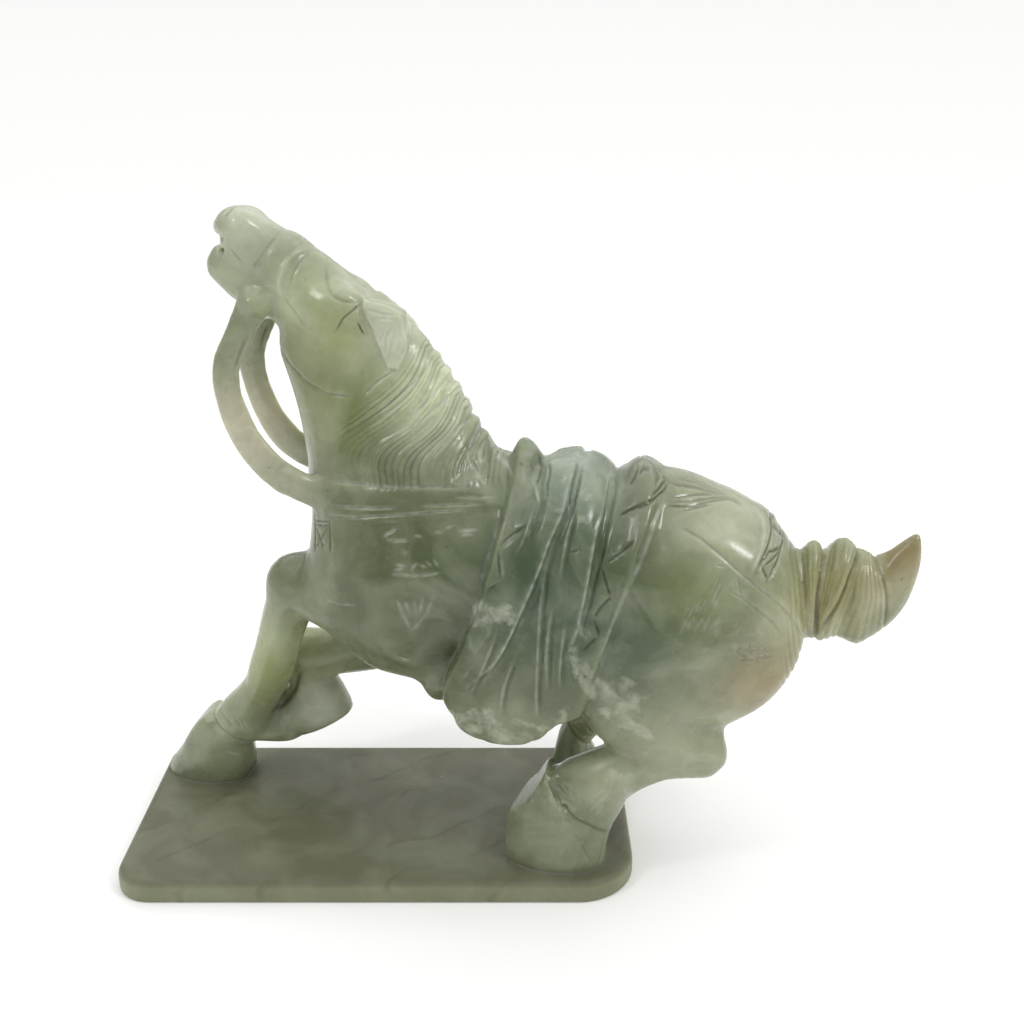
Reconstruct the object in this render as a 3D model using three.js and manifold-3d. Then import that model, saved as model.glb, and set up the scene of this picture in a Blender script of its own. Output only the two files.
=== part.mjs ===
// A saddled horse carved from one block of pale green stone, with its slab.
// Millimetres, +Z up. The origin is the centre of the slab's underside, +X runs along the slab
// towards the tail, and -Y is the side that the horse shows to the viewer.
import * as THREE from "three";
import Module from "manifold-3d";

// Slab
const slabLength = 152.5;
const slabDepth = 74.8;
const slabThickness = 6.8;
const slabTopEdge = 2.6;
const slabFootEdge = 1;
const slabCorners = { frontLeft: 11, frontRight: 17, backRight: 9, backLeft: 6 };

// The horse stands askew on the slab: it is turned about the vertical, head end away from the viewer.
const horseTurn = THREE.MathUtils.degToRad(10);
const horseShift = [-0.3, 5.6];

// The horse's own heights count the top of the slab as 9.
const slabTop = 9;

const backHeight = 125.4;
const bellyHeight = 58;
const hoofBottom = slabTop - 2.5;

// Half widths across the horse
const chestHalf = 25;
const bodyHalf = 24;
const croupHalf = 25;
const clothHalf = 28.5;
const headHalf = 11.5;
const reinHalf = 10.4;

// Saddle cloth
const clothThickness = 3;
const foldDepth = 1.3;
const flapThickness = 8;

// Reins
const reinWidth = 8.8;
const reinThickness = 3.4;

// The surface is followed on a grid of this cell, then thinned to this many triangles.
const cell = 1.5;
const horseTriangles = 9300;

// The head keeps finer triangles than the rest.
const fineAbove = 142;
const fineWeight = 5;

// Two shapes run into each other over a band of width k.
function blend(a, b, k) {
  const h = Math.max(k - Math.abs(a - b), 0) / k;
  return Math.min(a, b) - (h * h * k) / 4;
}

function overlap(a, b, k) {
  return -blend(-a, -b, k);
}

const far = 30;

// Leaves a shape out of the sum where a point is well clear of its box.
function boxed(low, high, field) {
  const gap = 9;
  return (x, y, z) => {
    if (x < low[0] - gap || y < low[1] - gap || z < low[2] - gap) return far;
    if (x > high[0] + gap || y > high[1] + gap || z > high[2] + gap) return far;
    return field(x, y, z);
  };
}

// Ellipsoid with its radii along x, y, z, then tipped about the y axis.
function ellipsoid([cx, cy, cz], [rx, ry, rz], tip = 0) {
  const c = Math.cos(THREE.MathUtils.degToRad(tip));
  const s = Math.sin(THREE.MathUtils.degToRad(tip));
  const reach = Math.max(rx, rz);
  const field = (x, y, z) => {
    const px = (x - cx) * c + (z - cz) * s;
    const pz = (z - cz) * c - (x - cx) * s;
    const py = y - cy;
    const near = Math.hypot(px / rx, py / ry, pz / rz);
    const slope = Math.hypot(px / (rx * rx), py / (ry * ry), pz / (rz * rz));
    return slope < 1e-9 ? -Math.min(rx, ry, rz) : (near * (near - 1)) / slope;
  };
  return boxed([cx - reach, cy - ry, cz - reach], [cx + reach, cy + ry, cz + reach], field);
}

// A limb along a smooth line. Each station is [x, y, z, radius, side]: side is the half width
// across y over the radius, 1 where it is left out.
function limb(stations, pieces = 4) {
  const vector = ([x, y, z]) => new THREE.Vector3(x, y, z);
  const line = new THREE.CatmullRomCurve3(stations.map(vector));
  const girth = new THREE.CatmullRomCurve3(
    stations.map(([x, y, z, r, side = 1]) => new THREE.Vector3(r, side * r, 0)),
  );
  const count = (stations.length - 1) * pieces;
  const knots = [];
  const low = [Infinity, Infinity, Infinity];
  const high = [-Infinity, -Infinity, -Infinity];
  for (let i = 0; i <= count; i++) {
    const p = line.getPoint(i / count);
    const g = girth.getPoint(i / count);
    knots.push({ p, r: g.x, side: g.y / g.x });
    p.toArray().forEach((v, axis) => {
      const r = axis === 1 ? g.y : g.x;
      low[axis] = Math.min(low[axis], v - r);
      high[axis] = Math.max(high[axis], v + r);
    });
  }
  return boxed(low, high, (x, y, z) => {
    let best = far;
    for (let i = 0; i < count; i++) {
      const { p: a, r: ra, side: sa } = knots[i];
      const { p: b, r: rb, side: sb } = knots[i + 1];
      const dx = b.x - a.x;
      const dy = b.y - a.y;
      const dz = b.z - a.z;
      const along = (x - a.x) * dx + (y - a.y) * dy + (z - a.z) * dz;
      const t = Math.min(1, Math.max(0, along / (dx * dx + dy * dy + dz * dz)));
      const side = sa + (sb - sa) * t;
      const off = Math.hypot(x - a.x - dx * t, (y - a.y - dy * t) / side, z - a.z - dz * t);
      best = Math.min(best, (off - ra - (rb - ra) * t) * Math.min(1, side + 0.2));
    }
    return best;
  });
}

// The horse is nearly the same on both sides, so a shape can be used twice.
function bothSides(field) {
  return (x, y, z) => field(x, -Math.abs(y), z);
}

// Value at z on a smooth line through [z, value] pairs in rising z.
function profile(pairs) {
  return (z) => {
    if (z <= pairs[0][0]) return pairs[0][1];
    for (let i = 1; i < pairs.length; i++) {
      const [z1, v1] = pairs[i];
      if (z > z1) continue;
      const [z0, v0] = pairs[i - 1];
      const t = (z - z0) / (z1 - z0);
      return v0 + (v1 - v0) * t;
    }
    return pairs[pairs.length - 1][1];
  };
}

// Distance to a closed outline in x and z, negative inside. Corners are smoothed.
function outline(corners, pieces = 4) {
  const loop = new THREE.CatmullRomCurve3(
    corners.map(([x, z]) => new THREE.Vector3(x, 0, z)),
    true,
  );
  const points = loop.getPoints(corners.length * pieces);
  return (x, z) => {
    let nearest = Infinity;
    let inside = false;
    for (let i = 1; i < points.length; i++) {
      const a = points[i - 1];
      const b = points[i];
      const dx = b.x - a.x;
      const dz = b.z - a.z;
      const along = ((x - a.x) * dx + (z - a.z) * dz) / (dx * dx + dz * dz);
      const t = Math.min(1, Math.max(0, along));
      nearest = Math.min(nearest, Math.hypot(x - a.x - dx * t, z - a.z - dz * t));
      if (a.z > z !== b.z > z && x < a.x + ((z - a.z) * dx) / dz) inside = !inside;
    }
    return inside ? -nearest : nearest;
  };
}

// Trunk: chest, barrel and croup
const chest = ellipsoid([16.4, 0, bellyHeight + 33.5], [31.4, chestHalf, 33.5]);
const barrel = ellipsoid([50, 0, 95], [46, bodyHalf, backHeight - 96]);
const belly = ellipsoid([33, 0, bellyHeight + 27], [32, 21, 28.6]);
const girth = bothSides(ellipsoid([25, -14, 62.4], [8.6, 8.2, 5.8], 30));
const loin = ellipsoid([85, 0, 112], [13, 15, 12.4]);
const croup = ellipsoid([88, 0, 90.6], [35.6, croupHalf, 31.8]);
const buttocks = bothSides(ellipsoid([92, -12.5, 83.6], [32, 13.5, 30.8]));
const shoulders = bothSides(ellipsoid([5.5, -14, 88], [18, 12.5, 25], 20));

// Neck, flat from side to side towards the head
const neck = limb([
  [12.5, 0, 100, 27.5, 0.84],
  [8.6, 0, 122, 26.4, 0.7],
  [3.8, 0, 138, 23.2, 0.62],
  [-1.2, 0, 150, 19.6, 0.57],
  [-4.6, 0, 156.4, 15, 0.62],
]);
const throat = limb([
  [-5, 0, 128, 12, 0.8],
  [-8.8, 0, 144, 11.6, 0.7],
  [-14.2, 0, 156, 11.2, 0.62],
]);

// Head: its own axes run from a point between the ears, s towards the muzzle and h towards the brow.
const headAt = [0, 160];
const headPitch = THREE.MathUtils.degToRad(31.4);

function headPoint(s, y, h) {
  const c = Math.cos(headPitch);
  const k = Math.sin(headPitch);
  return [headAt[0] - s * c + h * k, y, headAt[1] + s * k + h * c];
}

function headAxes(x, z) {
  const c = Math.cos(headPitch);
  const k = Math.sin(headPitch);
  return [-(x - headAt[0]) * c + (z - headAt[1]) * k, (x - headAt[0]) * k + (z - headAt[1]) * c];
}

const headLimb = (stations) =>
  limb(stations.map(([s, y, h, r, side]) => [...headPoint(s, y, h), r, side]));

const face = headLimb([
  [-6, 0, -1, 9.6, 0.9],
  [6, 0, 0, 9.5, 1.08],
  [16, 0, 1.2, 10.8, 0.91],
  [27, 0, 3, 9.2, 0.86],
  [37, 0, 4, 8.1, 0.88],
  [43.5, 0, 4.4, 7.4, 0.88],
]);
const jaw = headLimb([
  [10, 0, -7, 9, 0.75],
  [24, 0, -4.5, 7, 0.8],
  [35, 0, -6, 6.6, 0.95],
  [42.4, 0, -5.6, 5.7, 0.95],
]);
const cheeks = bothSides(ellipsoid(headPoint(1.5, -headHalf + 6.5, -3.6), [14, 7.5, 13.2]));
const brows = bothSides(ellipsoid(headPoint(10.5, -6.4, 3.3), [7.5, 5.2, 5.6], 31.4));
const nostrils = bothSides(ellipsoid(headPoint(43, -4.2, 7), [5, 3.8, 4.6], 31.4));
const mouth = headLimb([
  [44.4, 0, -0.9, 0.5, 24],
  [47.5, 0, -0.4, 1.2, 11],
  [54, 0, 0.2, 3, 5],
]);
// Ear: a leaf laid back along the neck, hollowed down its middle. The far one lies lower.
const earOutline = outline(
  [[2.4, 169.8], [8.2, 169.2], [13.8, 168], [15, 162.5], [12.4, 156], [8.4, 152.6], [5.4, 159]],
);

function ear(facing, shiftX, shiftZ, skinHalf) {
  const low = [2 + shiftX, -16, 151 + shiftZ];
  const high = [16 + shiftX, 16, 171 + shiftZ];
  return boxed(low, high, (x, y, z) => {
    const edge = earOutline(x - shiftX, z - shiftZ);
    const swell = 2.8 * Math.sqrt(Math.min(1, Math.max(0, -edge / 3.5)));
    const across = (x - shiftX - 9) * 0.9 + (z - shiftZ - 162) * 0.25;
    const hollow = 1.1 * Math.exp(-((across / 2.4) ** 2));
    const out = y * facing - skinHalf;
    return overlap(out > 0 ? out - swell + hollow : -out - 4, edge, 1);
  });
}

const nearEar = ear(-1, -0.8, 0, 9.4);
const farEar = ear(1, -4.5, -4.5, 9.4);

// Noseband: a low band round the muzzle
function noseband(x, y, z, skin) {
  const [s, h] = headAxes(x, z);
  if (s < 15 || s > 40) return skin;
  const strip = Math.abs(s - 29 + 0.04 * h) - 3.2;
  return overlap(skin - 0.9, strip, 0.8);
}

// Reins: one flat band each side, from the bit to the breast
const reinPath = [
  [-30, -6.5, 168.6, 4.2],
  [-33.2, -8, 161, 4.4],
  [-38, -9.6, 150, 4.3],
  [-36.5, -reinHalf, 137.8, 4.5],
  [-31, -reinHalf, 126.8, 4.9],
  [-23, -reinHalf - 1, 120.1, 5.1],
  [-13.3, -reinHalf - 3, 117.2, 4.7],
  [-2, -reinHalf - 7, 116.6, 4.6],
];
const side = reinThickness / reinWidth;
const reins = bothSides(limb(reinPath.map(([x, y, z, r]) => [x, y, z, r, side])));
const bit = limb([
  [-29, -7, 168, 4.2, 1],
  [-29, 7, 168, 4.2, 1],
]);

// Mane: locks leave the crest down the neck, then fall straight
const crestTop = [14, 163];
const crestSlope = [0.544, -0.839];
const lockPitch = 5.2;
const lockDepth = 0.55;

function ramp(low, high, v) {
  const t = Math.min(1, Math.max(0, (v - low) / (high - low)));
  return t * t * (3 - 2 * t);
}

function maneRelief(x, z) {
  const along = (x - crestTop[0]) * crestSlope[0] + (z - crestTop[1]) * crestSlope[1];
  const inward = (x - crestTop[0]) * crestSlope[1] - (z - crestTop[1]) * crestSlope[0];
  const swept = along - 7.5 * (1 - Math.exp(-Math.max(0, inward) / 6));
  const hanging = 0.8 * x + 10;
  const phase = swept + (hanging - swept) * ramp(138, 122, z);
  const edge = ramp(121, 125, z) * ramp(-17, -11, x) * ramp(33, 27, inward) * ramp(3, 8, swept);
  return lockDepth * edge * Math.cos((2 * Math.PI * phase) / lockPitch);
}

// Low relief strap that carries the reins along the neck
function neckStrap(x, y, z, skin) {
  if (x < -24 || x > 46 || z < 105 || z > 132) return skin;
  const middle = 117.3 + Math.max(0, x - 4) * 0.11;
  const strip = Math.abs(z - middle) - 4.2;
  return overlap(skin - 0.8, Math.max(strip, x - 45), 0.8);
}

// Saddle cloth: a shell over the back that hangs below the belly
const clothOutline = outline(
  [
    [43.5, 134],
    [42.5, 120],
    [40, 106],
    [34, 85],
    [27.2, 70],
    [25.2, 63.6],
    [26.4, 58.8],
    [29.4, 56.4],
    [29.4, 53.6],
    [33.4, 50],
    [40.3, 47.9],
    [48, 48.2],
    [53.8, 51.2],
    [57.6, 56.4],
    [61.6, 59],
    [65.4, 61.2],
    [68, 71],
    [71.8, 86],
    [77, 102],
    [82, 119],
    [84, 134],
  ],
  3,
);
const clothFront = profile([[51, 28.5], [68, 28], [85, 34], [106, 40], [120, 42.5], [130, 43.5]]);
const clothRear = profile([[55, 60], [73, 69], [84, 72.5], [101, 77.5], [119, 82], [130, 84]]);
const clothSide = profile([
  [48, clothHalf - 2.5],
  [56, clothHalf - 0.4],
  [70, clothHalf + 0.8],
  [88, clothHalf],
]);

// Folds run down the cloth. A fold's crest has its place at each height, from 0 at the front edge
// of the cloth to 1 at the rear edge. It rises slowly to the crest and falls off sharply behind it.
const folds = [
  { crest: profile([[50, 0.03], [130, 0.03]]), before: 0.05, behind: 0.05, tall: 0.7 },
  {
    crest: profile([[60, 0.18], [76, 0.265], [96, 0.31], [112, 0.32], [125, 0.4]]),
    before: 0.2,
    behind: 0.045,
    tall: 1.35,
  },
  {
    crest: profile([[60, 0.74], [76, 0.72], [97, 0.655], [106, 0.63], [126, 0.6]]),
    before: 0.2,
    behind: 0.045,
    tall: 1.35,
  },
  { crest: profile([[50, 0.97], [130, 0.97]]), before: 0.06, behind: 0.05, tall: 0.9 },
];
const gather = profile([[58, 0.25], [78, 0.7], [104, 0.9], [120, 1.15]]);

function foldHeight(x, z) {
  const front = clothFront(z);
  const u = (x - front) / (clothRear(z) - front);
  let height = -0.4;
  for (const { crest, before, behind, tall } of folds) {
    const gap = u - crest(z);
    const swell = gap < 0 ? Math.exp(-((gap / before) ** 4)) : Math.exp(-((gap / behind) ** 2));
    height += tall * swell * (tall > 1 ? gather(z) : 1);
  }
  return height * foldDepth;
}

// Height of the cloth along the middle of the back, before the folds
const clothTop = profile([
  [44, 124.8],
  [50, 125.7],
  [55, 125.6],
  [60, 125.2],
  [63.5, 125.2],
  [66, 123.2],
  [69, 122.2],
  [72, 125.4],
  [80, 124.4],
]);

const crown = 88;

const cloth = boxed([24, -34, 46], [86, 34, 132], (x, y, z) => {
  const half = clothSide(z);
  const top = clothTop(x) - crown;
  const up = Math.max(0, z - crown) / top;
  const lean = Math.pow(Math.pow(Math.abs(y) / half, 2.3) + Math.pow(up, 2.3), 1 / 2.3);
  const shell = (lean - 1) * Math.min(half, top) - foldHeight(x, z);
  const hollow = overlap(Math.abs(y) - half + flapThickness, z - 66, 3);
  return overlap(overlap(shell, clothOutline(x, z), 1.6), -hollow, 2.4);
});

// Saddle: a pointed pommel and a rolled cantle
const pommel = limb([
  [45, -15, 117, 2.6, 1],
  [45, -7, 125.4, 3.1, 1],
  [44.4, 0, 128, 3.4, 1],
  [45, 7, 125, 3.1, 1],
  [45, 15, 116, 2.6, 1],
]);
const pommelPoint = limb([
  [46.6, 0, 124, 4.8, 1.2],
  [45, 0, 129.6, 2.4, 1.3],
  [43.9, 0, 132.4, 0.9, 2],
]);
const cantle = limb([
  [79.8, -18, 112.6, 3.6, 1],
  [78.2, -10.5, 121.2, 4.6, 1],
  [77.4, 0, 123.4, 4.6, 1],
  [78.2, 10.5, 120.2, 4.6, 1],
  [79.8, 18, 111.6, 3.6, 1],
]);

// Tail: three bound rolls and a curved tip
const tailRolls = [
  ellipsoid([124.8, 0, 91.6], [5, 9.5, 14.9], -4),
  ellipsoid([131.6, 0, 92.4], [5.7, 10.5, 15.6], -9),
  ellipsoid([138.4, 0, 91], [5.2, 10, 13.8], 2),
];
const tailCore = limb([
  [112, 0, 92, 12, 0.7],
  [138, 0, 91, 12, 0.7],
]);
const tailTip = limb([
  [138, 0, 91, 12, 0.68],
  [142.6, 0, 93.4, 9.8, 0.64],
  [147.4, 0, 98.8, 6.4, 0.7],
  [150.5, 0, 104.8, 4, 0.8],
  [152.2, 0, 109.6, 1.8, 1],
]);

// Near foreleg, planted at the far corner of the slab
const nearForearm = limb([
  [8, -15, 84, 12, 0.8],
  [-8, -13, 85, 10.5, 0.85],
  [-21, -9.5, 86.8, 8.7, 0.9],
]);
const nearShin = limb([
  [-21.9, -9, 86.4, 8.9, 0.92],
  [-26.2, -7, 76, 7, 0.95],
  [-30, -5, 65.6, 6.8, 0.95],
  [-34.6, -1.6, 54, 7.2, 0.9],
  [-38.4, 1.4, 46, 6.4, 0.95],
  [-45.4, 4.4, 35.6, 7.2, 0.95],
]);
const nearFetlock = ellipsoid([-48.4, 5.2, 31], [10.4, 8.4, 8.4], 30);
const nearTuft = limb([
  [-46, 4.6, 27.6, 4.4, 1],
  [-38.6, 3.4, 26.6, 2.2, 1.2],
  [-34.6, 3, 28.4, 1, 1.4],
]);
const nearHoofBell = limb([
  [-57, 6.4, 27, 9.6, 0.9],
  [-59, 7.2, 18, 12.4, 0.8],
  [-62, 8.4, 8, 15.4, 0.7],
]);
const nearHoofOutline = outline(
  [
    [-58.4, 32.6],
    [-62.4, 30.4],
    [-65.2, 26.9],
    [-69.8, 19.6],
    [-74, 14],
    [-76.4, 8.8],
    [-76, 2],
    [-64, 2],
    [-52, 2],
    [-49, 9],
    [-45.6, 16],
    [-44.4, 21.6],
    [-49.4, 23.4],
    [-54.8, 26],
  ],
  3,
);
const nearHoof = boxed([-78, -6, 0], [-42, 22, 34], (x, y, z) =>
  overlap(nearHoofBell(x, y, z), nearHoofOutline(x, z), 0.8),
);

// Far foreleg, folded, with its hoof in the air
const farForearm = limb([
  [12, 13, 71, 13, 0.75],
  [-4, 13, 58.8, 9.6, 0.85],
  [-16, 12.5, 54.6, 7.8, 0.9],
  [-28.5, 11.5, 52.4, 7.6, 0.95],
]);
const farCannon = limb([
  [-28.5, 11, 53.4, 7.4, 0.95],
  [-27.6, 11.5, 46, 7, 0.95],
  [-26, 12, 40, 6.8, 0.95],
]);
const farHoofBell = limb([
  [-25, 12, 43, 6.2, 0.95],
  [-26, 12, 36, 10.8, 0.82],
  [-28, 12, 26, 16.6, 0.66],
]);
const farSole = (x) => 26 + 0.4 * (x + 30);
const farHoof = (x, y, z) => overlap(farHoofBell(x, y, z), 0.93 * (farSole(x) - z), 1.6);

// Near hind leg: the hock low behind, the cannon running forward to the hoof
const nearThigh = limb([
  [92, -15, 78, 22, 0.62],
  [76, -18, 63, 13.4, 0.75],
  [83.5, -18.5, 54, 10, 0.85],
  [97.4, -18, 48.2, 7.7, 0.85],
]);
const nearCannon = limb([
  [98.3, -18, 47.6, 7.1, 0.85],
  [88, -19, 46, 6.8, 0.9],
  [78.6, -20, 42.6, 7.7, 0.95],
  [70, -20.4, 37.4, 8.6, 0.95],
]);
const nearHindFetlock = ellipsoid([66.6, -20, 33], [11.4, 8, 8.8], -28);
const nearHindPastern = limb([
  [67.6, -19.6, 31, 9, 0.85],
  [63.4, -19, 20, 10, 0.8],
]);
const nearHindBell = limb([
  [60, -19.8, 34, 9.4, 0.95],
  [58.4, -19.2, 24, 15, 0.66],
  [57.6, -18.4, 8, 16.8, 0.62],
]);

// The hind hoof stops at a sharp edge that falls from its high front to the heel.
const nearHindOutline = outline(
  [
    [55.2, 40],
    [51.2, 33.8],
    [45.6, 26.8],
    [42.6, 22],
    [42.6, 12],
    [46, 2],
    [60, 2],
    [70, 2],
    [72.4, 10],
    [72.8, 17],
    [74.4, 22.8],
    [68.5, 24.6],
    [62.9, 28],
    [58.8, 33.2],
  ],
  3,
);
const nearHindHoof = boxed([41, -32, 0], [76, -6, 42], (x, y, z) =>
  overlap(nearHindBell(x, y, z), nearHindOutline(x, z), 0.8),
);

// Far hind leg, a little ahead of the near one
const farThigh = limb([
  [88, 14, 78, 20, 0.62],
  [74, 15, 62, 12, 0.75],
  [79, 15, 55, 8.6, 0.9],
  [88, 14.5, 50, 7.2, 0.9],
]);
const farCannonHind = limb([
  [89, 14.5, 50, 6.8, 0.9],
  [76, 14, 44.6, 5.8, 0.95],
  [64.4, 13.4, 38.4, 5.8, 0.95],
  [58.6, 13.6, 30, 5.2, 0.95],
  [58, 14, 23, 5.6, 0.95],
]);
const farHindHoof = limb([
  [59, 14, 24, 6, 0.95],
  [60, 14, 16, 9.6, 0.85],
  [60.5, 14, 8, 12.4, 0.75],
]);

// Adds each shape in turn, run into the sum so far over a band of its own width.
function join(first, ...rest) {
  return (x, y, z) => {
    let sum = first(x, y, z);
    for (const [field, k] of rest) {
      const d = field(x, y, z);
      if (d < sum + k) sum = blend(sum, d, k);
    }
    return sum;
  };
}

const trunk = join(
  chest,
  [barrel, 12],
  [belly, 6],
  [girth, 5],
  [croup, 12],
  [loin, 5],
  [buttocks, 6],
  [shoulders, 8],
  [neck, 12],
  [throat, 4],
  [nearForearm, 5],
  [farForearm, 6],
  [nearThigh, 6],
  [farThigh, 6],
);
const headShape = join(face, [jaw, 3], [cheeks, 3], [brows, 3], [nostrils, 2.5]);
const legs = join(
  nearShin,
  [nearFetlock, 3],
  [nearTuft, 2],
  [nearHoof, 0.8],
  [farCannon, 2],
  [farHoof, 1.5],
  [nearCannon, 3],
  [nearHindFetlock, 3],
  [nearHindPastern, 2],
  [nearHindHoof, 0.8],
  [farCannonHind, 3],
  [farHindHoof, 1.5],
);
const tail = join(
  tailCore,
  [tailRolls[0], 0.8],
  [tailRolls[1], 0.8],
  [tailRolls[2], 0.8],
  [tailTip, 1.2],
);

function horse(x, y, z) {
  let body = trunk(x, y, z);
  if (z > 120 && x < 44) body -= maneRelief(x, z);
  if (z > 84 && x < 50) {
    body = Math.min(body, neckStrap(x, y, z, body));
  }
  if (z > 140 && x < 30) {
    let head = headShape(x, y, z);
    head = Math.min(head, noseband(x, y, z, head));
    head = overlap(head, -mouth(x, y, z), 0.8);
    body = blend(body, head, 1.6);
    body = blend(body, nearEar(x, y, z), 1);
    body = blend(body, farEar(x, y, z), 1);
  }
  body = blend(body, legs(x, y, z), 3);
  body = blend(body, tail(x, y, z), 1.5);
  body = blend(body, cloth(x, y, z), 0.8);
  if (z > 100 && x > 30) {
    body = blend(body, pommel(x, y, z), 1.2);
    body = blend(body, pommelPoint(x, y, z), 1);
    body = blend(body, cantle(x, y, z), 1.2);
  }
  if (x < 16 && z > 104) {
    body = blend(body, reins(x, y, z), 1.2);
    body = blend(body, bit(x, y, z), 2);
  }
  return Math.max(body, hoofBottom - z);
}

// Follows the zero surface of a field through a grid whose cubes are split into six tetrahedra.
function follow(field, low, high, step) {
  const size = low.map((v, axis) => Math.ceil((high[axis] - v) / step) + 1);
  const [nx, ny, nz] = size;
  const value = new Float64Array(nx * ny * nz);
  const place = (i) => [
    low[0] + step * (i % nx),
    low[1] + step * (Math.floor(i / nx) % ny),
    low[2] + step * Math.floor(i / (nx * ny)),
  ];
  for (let i = 0; i < value.length; i++) value[i] = field(...place(i)) || 1e-6;

  const offset = [0, 1, nx, nx + 1, nx * ny, nx * ny + 1, nx * ny + nx, nx * ny + nx + 1];
  const positions = [];
  const made = new Map();
  const cut = (a, b) => {
    const key = Math.min(a, b) * value.length + Math.max(a, b);
    if (!made.has(key)) {
      const t = value[a] / (value[a] - value[b]);
      const pa = place(a);
      const pb = place(b);
      made.set(key, positions.length);
      positions.push(pa.map((v, axis) => v + (pb[axis] - v) * Math.min(0.98, Math.max(0.02, t))));
    }
    return made.get(key);
  };

  // Each tetrahedron walks from corner 0 to corner 7 of the cube, one axis at a time.
  const walks = [[1, 2, 4], [2, 4, 1], [4, 1, 2], [1, 4, 2], [4, 2, 1], [2, 1, 4]];
  const triangles = [];
  for (let k = 0; k < nz - 1; k++) {
    for (let j = 0; j < ny - 1; j++) {
      for (let i = 0; i < nx - 1; i++) {
        const start = i + nx * (j + ny * k);
        let inside = 0;
        for (const o of offset) if (value[start + o] < 0) inside++;
        if (inside === 0 || inside === 8) continue;
        walks.forEach((walk, turn) => {
          let corner = 0;
          const tetra = [start];
          for (const bit of walk) {
            corner += bit;
            tetra.push(start + offset[corner]);
          }
          if (turn > 2) [tetra[2], tetra[3]] = [tetra[3], tetra[2]];
          split(tetra, value, cut, triangles);
        });
      }
    }
  }
  return { positions, triangles };
}

// Triangles where the surface passes through one tetrahedron, facing away from the solid
function split(tetra, value, cut, triangles) {
  const inner = tetra.filter((v) => value[v] < 0);
  if (inner.length === 0 || inner.length === 4) return;
  const at = tetra.map((v, i) => (value[v] < 0 ? i : -1)).filter((i) => i >= 0);
  const others = [0, 1, 2, 3].filter((i) => !at.includes(i));
  const edge = (i, j) => cut(tetra[i], tetra[j]);
  const even = (order) => {
    let swaps = 0;
    for (let i = 0; i < 4; i++) for (let j = i + 1; j < 4; j++) if (order[i] > order[j]) swaps++;
    return swaps % 2 === 0;
  };
  const add = (a, b, c, forward) => triangles.push(forward ? [a, b, c] : [a, c, b]);
  if (at.length === 1) {
    const [a] = at;
    const [b, c, d] = others;
    add(edge(a, b), edge(a, c), edge(a, d), even([a, b, c, d]));
  } else if (at.length === 3) {
    const [a] = others;
    const [b, c, d] = at;
    add(edge(a, b), edge(a, c), edge(a, d), !even([a, b, c, d]));
  } else {
    const [a, b] = at;
    const [c, d] = others;
    const forward = even([a, b, c, d]);
    add(edge(a, c), edge(a, d), edge(b, d), forward);
    add(edge(a, c), edge(b, d), edge(b, c), forward);
  }
}

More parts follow.
